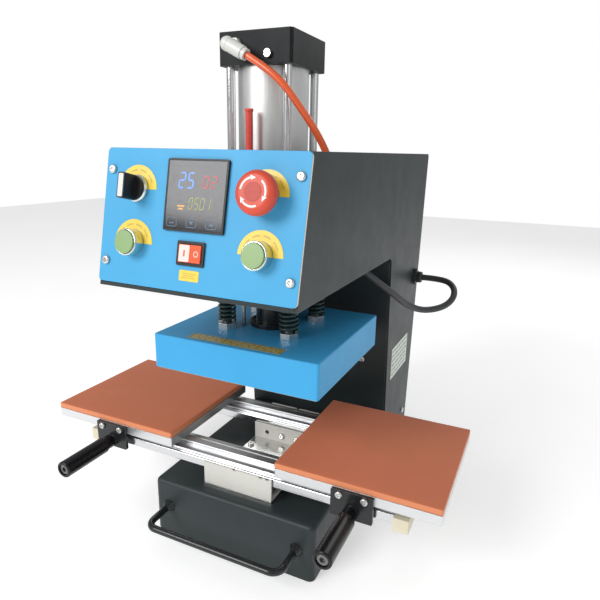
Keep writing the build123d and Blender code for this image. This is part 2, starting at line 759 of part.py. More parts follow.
def cable_glands():
    """The gland on the column's side and the angled one under the head."""
    x, y, z = CABLE_POINTS[0]
    side = HEAD_W / 2
    nut = Pos(side, y, z) * Rot(0, 90, 0) * extrude(RegularPolygon(12, 6, major_radius=False), 6)
    dome = bar_x(y, z, side + 6, x, 9.5)
    dome = fillet(dome.edges().group_by(Axis.X)[-1], 3)
    thread = bar_x(y, z, side - SHELL_T - 8, side, 6.3)
    first = nut + dome + thread
    a, b = (Vector(*p) for p in CABLE_POINTS[-2:])
    way = (b - a).normalized()
    sleeve = Plane(origin=b, z_dir=way).location * disc(8.5, 0, 12)
    gx, gy = gland_foot()
    foot = post(gx, gy, b.Z + 4, HEAD_UNDER, 10)
    stub = post(gx, gy, HEAD_UNDER, HEAD_UNDER + FLOOR_T + 6, 6.3)
    trim = block(gx - 30, gx + 30, gy - 30, gy + 30, HEAD_UNDER, HEAD_UNDER + 20)
    second = (sleeve - trim) + foot + stub
    return [first, second]


def air_inlet():
    """The quick-connect plug for the shop air line."""
    flange = extrude(RegularPolygon(11, 6, major_radius=False), 7)
    stem = disc(INLET_R, -14, 0)
    plug = disc(6.0, 7, 22) + disc(5.0, 22, 34) - disc(5.2, 24, 29) + disc(4.2, 23, 30)
    bore = disc(2.6, -15, 40)
    return on_rear(INLET_X, PORT_Z) * (flange + stem + plug - bore)


def mains_inlet():
    """The flanged mains inlet with three pins."""
    flange = fillet(plate_n(48, 28, 0, 3).edges().filter_by(Axis.Z), 4)
    body = plate_n(28, 20, -22, 0)
    socket = chamfer(plate_n(24.6, 16.6, -14, 4).edges().filter_by(Axis.Z), 2)
    pins = []
    for u, v in ((-7, -2), (0, 3), (7, -2)):
        pins.append(Pos(u, v, -9) * Box(2, 4, 14))
    inlet = flange + body - socket
    for pin in pins:
        inlet = inlet + pin
    return on_rear(MAINS_X, PORT_Z) * inlet


def piston():
    """The piston at the top of its stroke, with two seal grooves."""
    body = post(0, 0, PISTON_TOP - PISTON_H, PISTON_TOP, BORE_R - RUN_FIT)
    for z in (PISTON_TOP - 8, PISTON_TOP - 20):
        groove = post(0, 0, z - 2, z + 2, BORE_R + 1) - post(0, 0, z - 3, z + 3, BORE_R - 3)
        body = body - groove
    return body - post(0, 0, PISTON_TOP - PISTON_H - 1, PISTON_TOP - 8, 8)


def piston_rod():
    """The piston rod, with a spigot at each end."""
    low = PISTON_TOP - PISTON_H
    rod = post(0, 0, PRESS_PLATE_TOP, low, ROD_R)
    return rod + post(0, 0, low, PISTON_TOP - 8, 8) + post(0, 0, PRESS_PLATE_TOP - 14, PRESS_PLATE_TOP, 9)


def pressure_plate():
    """The plate on the rod, with the boss that bears on the platen."""
    half_w = PRESS_PLATE_W / 2
    half_d = PRESS_PLATE_D / 2
    plate = block(-half_w, half_w, -half_d, half_d, PRESS_PLATE_Z, PRESS_PLATE_TOP)
    plate = fillet(plate.edges().filter_by(Axis.Z), 6)
    body = plate + post(0, 0, PLATEN_TOP, PRESS_PLATE_Z, BOSS_R) + post(0, 0, PLATEN_TOP, PLATEN_TOP + 6, BOSS_R + 8)
    body = body - post(0, 0, PRESS_PLATE_TOP - 14, PRESS_PLATE_TOP + 1, 9)
    for x, y in bolt_centres():
        body = body - post(x, y, PRESS_PLATE_Z - 1, PRESS_PLATE_TOP + 1, BOLT_R + HOLE_SLACK)
    return body - post(CONDUIT_X, CONDUIT_Y, PRESS_PLATE_Z - 1, PRESS_PLATE_TOP + 1, CONDUIT_R + HOLE_SLACK)


def suspension_bolts():
    """Four bolts that hang the platen from the pressure plate."""
    low = HEATER_FACE + HEATER_T - 12
    return [post(x, y, low, PRESS_PLATE_TOP + NUT_H + 3, BOLT_R) for x, y in bolt_centres()]


def suspension_nuts():
    """Nuts at the foot and at the top of each suspension bolt."""
    nuts = []
    for x, y in bolt_centres():
        for z0 in (PLATEN_TOP, PRESS_PLATE_TOP):
            nuts.append(hex_post(x, y, z0, z0 + NUT_H, 22) - post(x, y, z0 - 1, z0 + 9, BOLT_R))
    return nuts


def platen_springs():
    """Four coil springs around the suspension bolts."""
    low = PLATEN_TOP + NUT_H + SPRING_WIRE_R
    high = PRESS_PLATE_Z - SPRING_WIRE_R
    helix = Helix(SPRING_PITCH, high - low, SPRING_MEAN_R)
    start = Plane(origin=helix @ 0, z_dir=helix % 0)
    coil = sweep(start * Circle(SPRING_WIRE_R), path=helix, is_frenet=True)
    return [Pos(x, y, low) * coil for x, y in bolt_centres()]


def platen_cover():
    """The blue sheet cover over the heated plate."""
    half_w = PLATEN_W / 2
    half_d = PLATEN_D / 2
    outer = block(-half_w, half_w, -half_d, half_d, PLATEN_SKIRT, PLATEN_TOP)
    outer = fillet(outer.edges().filter_by(Axis.Z), 3)
    outer = fillet(outer.faces().sort_by(Axis.Z)[-1].edges(), 1.8)
    inner = block(
        -half_w + PLATEN_WALL, half_w - PLATEN_WALL, -half_d + PLATEN_WALL, half_d - PLATEN_WALL,
        PLATEN_SKIRT - 1, PLATEN_TOP - PLATEN_WALL,
    )
    cover = outer - fillet(inner.edges().filter_by(Axis.Z), 1)
    for x, y in bolt_centres():
        cover = cover - post(x, y, PLATEN_SKIRT, PLATEN_TOP + 1, BOLT_R + HOLE_SLACK)
    return cover - post(CONDUIT_X, CONDUIT_Y, PLATEN_SKIRT, PLATEN_TOP + 1, CONDUIT_R + HOLE_SLACK)


def heater_plate():
    """The cast aluminium heating plate inside the cover."""
    half_w = PLATEN_W / 2 - PLATEN_WALL - HOLE_SLACK
    half_d = PLATEN_D / 2 - PLATEN_WALL - HOLE_SLACK
    top = HEATER_FACE + HEATER_T
    plate = block(-half_w, half_w, -half_d, half_d, HEATER_FACE, top)
    plate = fillet(plate.edges().filter_by(Axis.Z), 2)
    for x, y in bolt_centres():
        plate = plate - post(x, y, top - 12, top + 1, BOLT_R)
    return plate - post(CONDUIT_X, CONDUIT_Y, top - 8, top + 1, CONDUIT_R)


def platen_label():
    """The narrow plate along the front of the platen's top."""
    strip = block(-67, 62, -99, -82, PLATEN_TOP, PLATEN_TOP + 0.4)
    return strip


def lead_conduit():
    """The thin steel tube that carries the heater and sensor leads."""
    low = HEATER_FACE + HEATER_T - 8
    tube = post(CONDUIT_X, CONDUIT_Y, low, PRESS_PLATE_TOP + 6, CONDUIT_R)
    return tube - post(CONDUIT_X, CONDUIT_Y, low + 2, PRESS_PLATE_TOP + 7, CONDUIT_R - 0.8)


def mirrored_rails(shape):
    """A rail part drawn for the front rail, and its mirror image for the rear one."""
    return [shape, shape.mirror(Plane.XZ)]


def slide_sole():
    """The plated strip that ties both slide brackets to the base."""
    half = BRACKET_W / 2
    edge = RAIL_Y + BRACKET_HALF
    return drilled(block(-half, half, -edge, edge, BASE_H, SOLE_TOP))


def slide_brackets():
    """Two painted channel brackets, the fixed members of the telescopic slides."""
    half = BRACKET_W / 2
    y0 = -RAIL_Y - BRACKET_HALF
    y1 = -RAIL_Y + BRACKET_HALF
    web = block(-half, half, y0, y1, SOLE_TOP, SOLE_TOP + BRACKET_T)
    outer = block(-half, half, y0, y0 + BRACKET_T, SOLE_TOP, MEMBER_TOP)
    inner = block(-half, half, y1 - BRACKET_T, y1, SOLE_TOP, INNER_FLANGE_TOP)
    shape = web + outer + inner
    for x in (-4, 35, 44):
        shape = shape - block(x - 2.5, x + 2.5, y0 - 1, y0 + BRACKET_T + 1, MEMBER_TOP - 2, MEMBER_TOP + 1)
    for x in INNER_HOLE_X:
        shape = shape - bar_y(x, INNER_SCREW_Z, y1 - 5, y1 + 1, 3.2)
    return [drilled(s) for s in mirrored_rails(shape)]


def slide_bearings():
    """Two fixed T-shaped bearing blocks that the chromed members run on."""
    x = BRACKET_W / 2 - 4
    low = SOLE_TOP + BRACKET_T
    body = block(-x, x, -RAIL_Y - 20, -RAIL_Y + 20, low, MEMBER_BOTTOM - SLIP)
    neck_half = SLOT_HALF - SLIP
    neck = block(-x, x, -RAIL_Y - neck_half, -RAIL_Y + neck_half, MEMBER_BOTTOM - SLIP, MEMBER_BOTTOM + 4.4)
    head_half = CAVITY_HALF - SLIP
    head = block(-x, x, -RAIL_Y - head_half, -RAIL_Y + head_half, MEMBER_BOTTOM + 2.4, MEMBER_BOTTOM + 4.4)
    return mirrored_rails(body + neck + head)


def slide_members():
    """Two chromed middle members, slotted above and below."""
    half_l = MEMBER_L / 2 - END_BLOCK
    x0 = TABLE_REST_MID - half_l
    x1 = TABLE_REST_MID + half_l
    body = block(x0, x1, -RAIL_Y - MEMBER_HALF, -RAIL_Y + MEMBER_HALF, MEMBER_BOTTOM, MEMBER_TOP)
    body = fillet(body.edges().filter_by(Axis.X), 1.5)
    for z0, z1, s0, s1 in (
        (MEMBER_BOTTOM + 2, MEMBER_BOTTOM + 4.8, MEMBER_BOTTOM - 1, MEMBER_BOTTOM + 3),
        (MEMBER_TOP - 4.8, MEMBER_TOP - 2, MEMBER_TOP - 3, MEMBER_TOP + 1),
    ):
        body = body - block(x0 - 1, x1 + 1, -RAIL_Y - CAVITY_HALF, -RAIL_Y + CAVITY_HALF, z0, z1)
        body = body - block(x0 - 1, x1 + 1, -RAIL_Y - SLOT_HALF, -RAIL_Y + SLOT_HALF, s0, s1)
    return mirrored_rails(body)


def slide_end_blocks():
    """Four nylon blocks that close the ends of the middle members."""
    blocks = []
    for sx in (-1, 1):
        inner = MEMBER_L / 2 - END_BLOCK
        x0, x1 = sorted((TABLE_REST_MID + sx * inner, TABLE_REST_MID + sx * MEMBER_L / 2))
        body = block(x0, x1, -RAIL_Y - BRACKET_HALF, -RAIL_Y + BRACKET_HALF, MEMBER_BOTTOM - 6.5, MEMBER_TOP - SLIP)
        body = body - block(x0 - 1, x1 + 1, -RAIL_Y - CAVITY_HALF, -RAIL_Y + CAVITY_HALF, MEMBER_TOP - 4.8, MEMBER_TOP + 1)
        body = fillet(body.edges().filter_by(Axis.X).group_by(Axis.Z)[0], 2)
        blocks.extend(mirrored_rails(body))
    return blocks


def carriage_rails():
    """Two rails under the trays: rib, side lips and the foot that hooks the member."""
    x0 = TABLE_REST_X - RAIL_L / 2
    x1 = TABLE_REST_X + RAIL_L / 2
    sheet = block(x0, x1, -RAIL_Y - RAIL_HALF, -RAIL_Y + RAIL_HALF, RAIL_BOTTOM, RAIL_BOTTOM + 1.6)
    rib = block(x0, x1, -RAIL_Y - RAIL_RIB, -RAIL_Y + RAIL_RIB, RAIL_BOTTOM, TRAY_BOTTOM)
    rib = fillet(rib.edges().filter_by(Axis.X).group_by(Axis.Z)[-1], 1.6)
    rail = sheet + rib
    for s in (-1, 1):
        y0, y1 = sorted((-RAIL_Y + s * RAIL_HALF, -RAIL_Y + s * (RAIL_HALF - 6)))
        rail = rail + block(x0, x1, y0, y1, RAIL_BOTTOM, RAIL_BOTTOM + 2.8)
    neck_half = SLOT_HALF - SLIP
    rail = rail + block(x0, x1, -RAIL_Y - neck_half, -RAIL_Y + neck_half, MEMBER_TOP - 4.4, RAIL_BOTTOM)
    foot_half = CAVITY_HALF - SLIP
    foot = block(x0, x1, -RAIL_Y - foot_half, -RAIL_Y + foot_half, MEMBER_TOP - 4.4, MEMBER_TOP - 2.4)
    rail = rail + foot
    for x in tray_screw_x():
        rail = rail - post(x, -RAIL_Y, TRAY_BOTTOM - 6, TRAY_BOTTOM + 1, SHANK)
    return mirrored_rails(rail)


def tray_centres():
    """X of the middle of each station at rest."""
    return [TABLE_REST_X - STATION_PITCH / 2, TABLE_REST_X + STATION_PITCH / 2]


def tray_screw_x():
    """X of the two countersunk screws on each side of each tray."""
    xs = []
    for centre in tray_centres():
        for s in (-1, 1):
            x = centre + s * 60
            xs.append(x)
    return xs


def tray_plates():
    """The two aluminium plates that carry the pads."""
    plates = []
    for centre in tray_centres():
        half = TRAY_W / 2
        plate = block(centre - half, centre + half, TRAY_FRONT, -TRAY_FRONT, TRAY_BOTTOM, TRAY_TOP)
        plate = fillet(plate.edges().filter_by(Axis.Z), 2)
        for s in (-1, 1):
            plate = plate - bar_y(centre + s * HB_SCREW_X, HB_SCREW_Z, TRAY_FRONT - 1, TRAY_FRONT + 11, SHANK)
        for x in tray_screw_x():
            if abs(x - centre) < half:
                for sy in (-1, 1):
                    plate = plate - post(x, sy * RAIL_Y, TRAY_BOTTOM - 1, TRAY_TOP + 1, SHANK)
                    plate = plate - post(x, sy * RAIL_Y, TRAY_TOP - 3, TRAY_TOP + 1, 5)
        plates.append(plate)
    return plates


def tray_screws():
    """Eight screws that hold the trays on the rails, sunk under the pads."""
    screws = []
    for x in tray_screw_x():
        for sy in (-1, 1):
            screw = post(x, sy * RAIL_Y, TRAY_BOTTOM - 6, TRAY_TOP - 3, SHANK)
            head = post(x, sy * RAIL_Y, TRAY_TOP - 3, TRAY_TOP - 0.2, 5)
            socket = hex_post(x, sy * RAIL_Y, TRAY_TOP - 2.2, TRAY_TOP + 1, 4)
            screws.append(screw + head - socket)
    return screws


def silicone_pads():
    """The two pressing pads."""
    pads = []
    for centre in tray_centres():
        half = TRAY_W / 2
        pad = block(centre - half, centre + half, TRAY_FRONT, -TRAY_FRONT, TRAY_TOP, PAD_TOP)
        pads.append(fillet(pad.edges().filter_by(Axis.Z), 2))
    return pads


def handle_brackets():
    """Two black plates on the tray fronts that hold the pull handles."""
    plates = []
    for centre in tray_centres():
        half = HB_W / 2
        plate = block(centre - half, centre + half, HB_FRONT, TRAY_FRONT, HB_BOTTOM, HB_TOP)
        plate = fillet(plate.edges().filter_by(Axis.Y), 2)
        for s in (-1, 1):
            plate = plate - bar_y(centre + s * HB_SCREW_X, HB_SCREW_Z, HB_FRONT - 1, TRAY_FRONT + 1, SHANK + HOLE_SLACK)
        plate = plate - bar_y(centre, HANDLE_Z, HB_FRONT - 1, TRAY_FRONT + 1, SPINDLE_R)
        plates.append(plate)
    return plates


def bracket_screws():
    """Four pan screws, two for each handle bracket."""
    screws = []
    for centre in tray_centres():
        for s in (-1, 1):
            place = facing(centre + s * HB_SCREW_X, HB_FRONT, HB_SCREW_Z, (0, -1, 0))
            screws.append(place * pan_screw(14, head_r=4.6))
    return screws


COLLAR_END_Y = HB_FRONT - 3
HEAD_SEAT_Y = GRIP_END_Y + 7.5


def handle_spindles():
    """Two socket-head spindles with a collar against the bracket."""
    spindles = []
    for centre in tray_centres():
        shaft = bar_y(centre, HANDLE_Z, HEAD_SEAT_Y - SLIP, TRAY_FRONT, SPINDLE_R)
        collar = bar_y(centre, HANDLE_Z, COLLAR_END_Y, HB_FRONT, 8)
        head = bar_y(centre, HANDLE_Z, GRIP_END_Y + 1.5, HEAD_SEAT_Y - SLIP, 6.5)
        socket = Pos(centre, GRIP_END_Y, HANDLE_Z) * Rot(-90, 0, 0) * extrude(
            RegularPolygon(3, 6, major_radius=False), 5)
        spindles.append(shaft + collar + head - socket)
    return spindles


def grip(centre):
    """A black revolving grip, slimmer toward the bracket."""
    inner_y = COLLAR_END_Y - SLIP
    body = bar_y(centre, HANDLE_Z, GRIP_END_Y, inner_y, GRIP_R)
    body = fillet(body.edges().group_by(Axis.Y)[0], 2.0)
    neck = bar_y(centre, HANDLE_Z, inner_y - 14, inner_y + 1, GRIP_R + 2)
    slim = bar_y(centre, HANDLE_Z, inner_y - 14, inner_y + 1, GRIP_R - 1.8)
    body = body - (neck - slim)
    body = body - bar_y(centre, HANDLE_Z, GRIP_END_Y - 1, inner_y + 1, SPINDLE_R + RUN_FIT)
    return body - bar_y(centre, HANDLE_Z, GRIP_END_Y - 1, HEAD_SEAT_Y, 7.4)


def front_loop():
    """The bent rod across the front of the base, with its welded collars."""
    path = FilletPolyline(
        (-LOOP_X, BASE_FRONT, LOOP_Z), (-LOOP_X, LOOP_Y, LOOP_Z),
        (LOOP_X, LOOP_Y, LOOP_Z), (LOOP_X, BASE_FRONT, LOOP_Z), radius=LOOP_BEND,
    )
    start = Plane(origin=(-LOOP_X, BASE_FRONT, LOOP_Z), z_dir=(0, -1, 0))
    rod = sweep(start * Circle(LOOP_R), path=path)
    for s in (-1, 1):
        cone = Pos(s * LOOP_X, BASE_FRONT - 4.5, LOOP_Z) * Rot(90, 0, 0) * Cone(9, LOOP_R, 9)
        rod = rod + cone
    return rod


def rating_label():
    """A blank plate on the right side of the column."""
    return block(HEAD_W / 2, HEAD_W / 2 + 0.4, 176, 272, 154, 206)


os.makedirs("parts", exist_ok=True)
LEFT_X, RIGHT_X = tray_centres()
save("base_box", base_box())
save("side_plates", side_plates())
save("frame_liner", frame_liner())
save("frame_wrap", frame_wrap())
save("control_panel", control_panel())
save("frame_screws", [place * pan_screw(7) for place in screw_places()])
save("display_housing", display_housing())
save("display_window", display_window())
save("rocker_housing", rocker_housing())
save("rocker_switch", rocker_switch())
save("control_labels", control_labels())
save("button_bezels", button_bezels())
save("short_collars", short_collars())
save("contact_blocks", contact_blocks())
save("button_left", plunger(-1))
save("button_right", plunger(1))
save("estop_stem", estop_stem())
save("estop_head", estop_head())
save("selector_knob", selector_knob())
save("cylinder_deck", cylinder_deck())
save("cylinder_lower_cap", cylinder_lower_cap())
save("cylinder_barrel", cylinder_barrel())
save("cylinder_upper_cap", cylinder_upper_cap())
save("tie_rods", tie_rods())
save("tie_rod_nuts", tie_rod_nuts())
save("air_elbows", air_elbows())
save("cushion_screw", cushion_screw())
save("vent_tube", vent_tube())
save("air_hose", flexible(HOSE_POINTS, HOSE_R, "air_hose"))
save("solenoid_valve", solenoid_valve())
save("power_cable", flexible(CABLE_POINTS, CABLE_R, "power_cable"))
save("cable_glands", cable_glands())
save("air_inlet", air_inlet())
save("mains_inlet", mains_inlet())
save("rating_label", rating_label())
save("front_loop", front_loop())
save("slide_sole", slide_sole())
save("slide_brackets", slide_brackets())
save("slide_bearings", slide_bearings())
save("slide_members", slide_members())
save("slide_end_blocks", slide_end_blocks())
save("carriage_rails", carriage_rails())
save("tray_plates", tray_plates())
save("tray_screws", tray_screws())
save("silicone_pads", silicone_pads())
save("handle_brackets", handle_brackets())
save("bracket_screws", bracket_screws())
save("handle_spindles", handle_spindles())
save("grip_left", grip(LEFT_X))
save("grip_right", grip(RIGHT_X))
save("piston", piston())
save("piston_rod", piston_rod())
save("pressure_plate", pressure_plate())
save("suspension_bolts", suspension_bolts())
save("suspension_nuts", suspension_nuts())
save("platen_springs", platen_springs())
save("platen_cover", platen_cover())
save("heater_plate", heater_plate())
save("platen_label", platen_label())
save("lead_conduit", lead_conduit())
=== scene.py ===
"""Visual model of a two-station pneumatic heat press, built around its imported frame."""

import json
import logging
import math
from dataclasses import dataclass, field
from enum import Enum

import bmesh
import bpy
from mathutils import Matrix, Vector

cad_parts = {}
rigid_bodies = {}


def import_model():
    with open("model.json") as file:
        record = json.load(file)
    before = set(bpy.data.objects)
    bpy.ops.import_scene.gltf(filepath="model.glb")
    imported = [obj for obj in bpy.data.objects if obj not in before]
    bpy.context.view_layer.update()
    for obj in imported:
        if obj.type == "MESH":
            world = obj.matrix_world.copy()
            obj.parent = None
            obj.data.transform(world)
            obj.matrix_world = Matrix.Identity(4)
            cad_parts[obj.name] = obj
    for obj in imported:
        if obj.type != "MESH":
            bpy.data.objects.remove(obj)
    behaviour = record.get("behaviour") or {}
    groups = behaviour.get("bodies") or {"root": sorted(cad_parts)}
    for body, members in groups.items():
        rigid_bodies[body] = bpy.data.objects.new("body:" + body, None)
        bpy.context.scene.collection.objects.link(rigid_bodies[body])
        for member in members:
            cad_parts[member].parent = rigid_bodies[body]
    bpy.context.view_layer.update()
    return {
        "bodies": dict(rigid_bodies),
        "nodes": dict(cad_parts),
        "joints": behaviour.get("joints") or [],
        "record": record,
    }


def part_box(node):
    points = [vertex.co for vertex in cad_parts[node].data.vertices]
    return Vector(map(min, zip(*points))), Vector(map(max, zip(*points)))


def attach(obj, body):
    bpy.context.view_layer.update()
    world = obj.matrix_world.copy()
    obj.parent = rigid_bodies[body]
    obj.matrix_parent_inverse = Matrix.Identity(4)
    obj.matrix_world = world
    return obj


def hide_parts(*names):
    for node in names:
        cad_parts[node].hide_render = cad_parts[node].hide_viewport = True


LOG = logging.getLogger("heat_press")
MM = 0.001

Colour = tuple[float, float, float]
Point2 = tuple[float, float]
Point3 = tuple[float, float, float]

UP: Point3 = (0.0, 0.0, 1.0)
PAINT_EDGE = 0.0009
METAL_EDGE = 0.0006
PLASTIC_EDGE = 0.0005
FILM_EDGE = 0.0003
SPONGE_PORE_DEPTH = 0.00010
FILM_FIBRE_DEPTH = 0.000008
DUST_GREY: Colour = (0.55, 0.54, 0.52)
EDGE_SAMPLES = 6


# --------------------------------------------------------------------------- shader tools


class Value:
    """A number socket; arithmetic on it adds Math nodes to its tree."""

    def __init__(self, tree: "Tree", socket: bpy.types.NodeSocket) -> None:
        """Wraps a socket.

        Args:
            tree: The tree that the socket is in.
            socket: The output socket.
        """
        self.tree = tree
        self.socket = socket

    def _math(self, operation: str, first: object, second: object) -> "Value":
        """Adds one Math node.

        Args:
            operation: The Math node's operation.
            first: A Value or a number.
            second: A Value or a number.

        Returns:
            The node's result.
        """
        node = self.tree.node("ShaderNodeMath", {"operation": operation}, {0: first, 1: second})
        return Value(self.tree, node.outputs[0])

    def __add__(self, other: object) -> "Value":
        """Sum."""
        return self._math("ADD", self, other)

    def __radd__(self, other: object) -> "Value":
        """Reflected sum."""
        return self._math("ADD", other, self)

    def __sub__(self, other: object) -> "Value":
        """Difference."""
        return self._math("SUBTRACT", self, other)

    def __rsub__(self, other: object) -> "Value":
        """Reflected difference."""
        return self._math("SUBTRACT", other, self)

    def __mul__(self, other: object) -> "Value":
        """Product."""
        return self._math("MULTIPLY", self, other)

    def __rmul__(self, other: object) -> "Value":
        """Reflected product."""
        return self._math("MULTIPLY", other, self)

    def rise(self, low: float, high: float) -> "Value":
        """A smooth step from 0 at low to 1 at high.

        Args:
            low: Where the step starts.
            high: Where the step ends.

        Returns:
            The stepped value.
        """
        node = self.tree.node(
            "ShaderNodeMapRange",
            {"interpolation_type": "SMOOTHSTEP"},
            {"Value": self, "From Min": low, "From Max": high},
        )
        return Value(self.tree, node.outputs["Result"])


class Tree:
    """A material's node tree while it is being made."""

    def __init__(self, name: str) -> None:
        """Starts a material with one Principled shader.

        Args:
            name: The material's name.
        """
        self.material = bpy.data.materials.new(name)
        self.material.use_nodes = True
        self.nodes = self.material.node_tree.nodes
        self.links = self.material.node_tree.links
        self.shader = self.nodes["Principled BSDF"]

    def feed(self, socket: bpy.types.NodeSocket, value: object) -> None:
        """Sets or links one input.

        Args:
            socket: The input socket.
            value: A Value, an output socket, a number or a tuple.
        """
        if isinstance(value, Value):
            self.links.new(value.socket, socket)
        elif isinstance(value, bpy.types.NodeSocket):
            self.links.new(value, socket)
        elif isinstance(value, tuple) and socket.type == "RGBA":
            socket.default_value = (*value[:3], 1.0)
        else:
            socket.default_value = value

    def node(self, kind: str, settings: dict | None = None, inputs: dict | None = None) -> bpy.types.Node:
        """Adds a node.

        Args:
            kind: The node's type name.
            settings: Its own settings, which are set first.
            inputs: Values or links of its sockets, by name or index.

        Returns:
            The new node.
        """
        made = self.nodes.new(kind)
        for key, setting in (settings or {}).items():
            setattr(made, key, setting)
        for key, value in (inputs or {}).items():
            self.feed(made.inputs[key], value)
        return made

    def place(self, stretch: Point3 = (1.0, 1.0, 1.0)) -> bpy.types.NodeSocket:
        """The object's own coordinates, in metres, stretched for grain.

        Args:
            stretch: Scale along X, Y and Z.

        Returns:
            A vector socket.
        """
        coords = self.node("ShaderNodeTexCoord").outputs["Object"]
        if stretch == (1.0, 1.0, 1.0):
            return coords
        moved = self.node("ShaderNodeMapping", None, {"Vector": coords, "Scale": stretch})
        return moved.outputs["Vector"]

    def noise(self, scale: float, detail: float = 3.0, rough: float = 0.55,
              stretch: Point3 = (1.0, 1.0, 1.0)) -> Value:
        """Soft noise from 0 to 1.

        Args:
            scale: Cells in a metre.
            detail: Octaves.
            rough: How strong the fine octaves are.
            stretch: Scale of the coordinates along each axis.

        Returns:
            The noise value.
        """
        made = self.node(
            "ShaderNodeTexNoise", None,
            {"Vector": self.place(stretch), "Scale": scale, "Detail": detail, "Roughness": rough},
        )
        return Value(self, made.outputs[0])

    def cells(self, scale: float) -> Value:
        """Distance to the nearest of many scattered points.

        Args:
            scale: Points in a metre.

        Returns:
            The distance value.
        """
        made = self.node("ShaderNodeTexVoronoi", None, {"Vector": self.place(), "Scale": scale})
        return Value(self, made.outputs["Distance"])

    def blend(self, factor: object, first: object, second: object) -> bpy.types.NodeSocket:
        """Mixes two colours.

        Args:
            factor: 0 for the first and 1 for the second.
            first: A colour or a socket.
            second: A colour or a socket.

        Returns:
            The mixed colour's socket.
        """
        made = self.node("ShaderNodeMix", {"data_type": "RGBA"}, {0: factor, 6: first, 7: second})
        return made.outputs[2]

    def dot(self, first: object, second: object) -> Value:
        """The dot product of two vectors."""
        made = self.node("ShaderNodeVectorMath", {"operation": "DOT_PRODUCT"}, {0: first, 1: second})
        return Value(self, made.outputs["Value"])

    def rounded(self, radius: float) -> bpy.types.NodeSocket:
        """A normal that is rounded over sharp edges.

        Args:
            radius: The edge's radius in metres.

        Returns:
            The normal's socket.
        """
        return self.node("ShaderNodeBevel", {"samples": EDGE_SAMPLES}, {"Radius": radius}).outputs["Normal"]

    def facing(self, direction: Point3) -> Value:
        """How far the surface faces a direction of its own object, from -1 to 1."""
        normal = self.node("ShaderNodeTexCoord").outputs["Normal"]
        return self.dot(normal, direction)

    def edge(self, normal: bpy.types.NodeSocket) -> Value:
        """Where an edge is, from its rounded normal.

        Args:
            normal: The socket that rounded() gave.

        Returns:
            0 on flat faces, rising over edges.
        """
        plain = self.node("ShaderNodeNewGeometry").outputs["Normal"]
        return 1.0 - self.dot(normal, plain)

    def bump(self, height: Value, depth: float, normal: object | None = None) -> bpy.types.NodeSocket:
        """A normal from a height.

        Args:
            height: The height from 0 to 1.
            depth: What a height of 1 is in metres.
            normal: A normal to start from.

        Returns:
            The normal's socket.
        """
        inputs = {"Height": height, "Distance": depth, "Strength": 1.0}
        if normal is not None:
            inputs["Normal"] = normal
        return self.node("ShaderNodeBump", None, inputs).outputs["Normal"]

    def done(self, **sockets: object) -> bpy.types.Material:
        """Feeds the shader and returns the material.

        Args:
            **sockets: Values for the shader's sockets, with _ for a space.

        Returns:
            The finished material.
        """
        for key, value in sockets.items():
            self.feed(self.shader.inputs[key.replace("_", " ")], value)
        return self.material


def shade(colour: Colour, factor: float) -> Colour:
    """A colour made lighter or darker by a factor."""
    return (min(1.0, colour[0] * factor), min(1.0, colour[1] * factor), min(1.0, colour[2] * factor))


# --------------------------------------------------------------------------- finishes


@dataclass(frozen=True)
class Paint:
    """Sprayed enamel or powder coat on sheet steel."""

    name: str
    colour: Colour
    roughness: float = 0.38
    peel: float = 0.000012
    peel_scale: float = 420.0
    wear: float = 0.5
    bare: Colour = (0.42, 0.42, 0.41)
    coat: float = 0.25
    dust: float = 0.10
    specular: float = 0.5
    side_highlight: Colour | None = None
    side_highlight_axis: Point3 = (0.0, -0.9776, 0.2103)

    def material(self) -> bpy.types.Material:
        """Makes the paint.

        Returns:
            The material.
        """
        tree = Tree(self.name)
        rounded = tree.rounded(PAINT_EDGE)
        edge = tree.edge(rounded)
        broad = tree.noise(9.0, 4.0)
        fine = tree.noise(self.peel_scale, 2.0)
        chips = tree.noise(150.0, 5.0, 0.7)
        base = tree.blend(broad, shade(self.colour, 0.90), shade(self.colour, 1.09))
        lying = tree.facing(UP).rise(0.6, 1.0)
        specks = tree.noise(700.0, 4.0, 0.75).rise(0.52, 0.72)
        base = tree.blend(lying * specks * self.dust, base, DUST_GREY)
        # Painted highlight: faces turned away from the panel's front take a pale cream colour, as the lit
        # side edge.
        if self.side_highlight is not None:
            side = 1.0 - tree.facing(self.side_highlight_axis).rise(0.55, 0.8)
            base = tree.blend(side, base, self.side_highlight)
        worn = (edge * 3.0 + chips - 0.75).rise(0.08, 0.30) * self.wear
        base = tree.blend(worn, base, self.bare)
        smudge = tree.noise(28.0, 5.0, 0.65)
        rough = self.roughness + (smudge - 0.5) * 0.22 + (fine - 0.5) * 0.06
        normal = tree.bump(fine, self.peel, rounded)
        return tree.done(Base_Color=base, Roughness=rough, Normal=normal, Coat_Weight=self.coat,
                         Coat_Roughness=0.18, Specular_IOR_Level=self.specular)


@dataclass(frozen=True)
class Metal:
    """Bare, plated or brushed metal."""

    name: str
    colour: Colour
    roughness: float = 0.30
    grain: Point3 = (1.0, 1.0, 1.0)
    grain_scale: float = 220.0
    grain_depth: float = 0.000010
    stain: float = 0.18
    tint: Colour = (0.36, 0.34, 0.30)

    def material(self) -> bpy.types.Material:
        """Makes the metal.

        Returns:
            The material.
        """
        tree = Tree(self.name)
        rounded = tree.rounded(METAL_EDGE)
        edge = tree.edge(rounded)
        lines = tree.noise(self.grain_scale, 5.0, 0.6, self.grain)
        broad = tree.noise(22.0, 4.0, 0.6)
        spots = tree.noise(95.0, 5.0, 0.7).rise(0.52, 0.78)
        base = tree.blend(lines, shade(self.colour, 0.86), shade(self.colour, 1.08))
        base = tree.blend(spots * broad * self.stain, base, self.tint)
        base = tree.blend(edge.rise(0.05, 0.4) * 0.5, base, shade(self.colour, 1.2))
        rough = self.roughness + (lines - 0.5) * 0.16 + (broad - 0.5) * 0.18
        normal = tree.bump(lines, self.grain_depth, rounded)
        return tree.done(Base_Color=base, Metallic=1.0, Roughness=rough, Normal=normal)


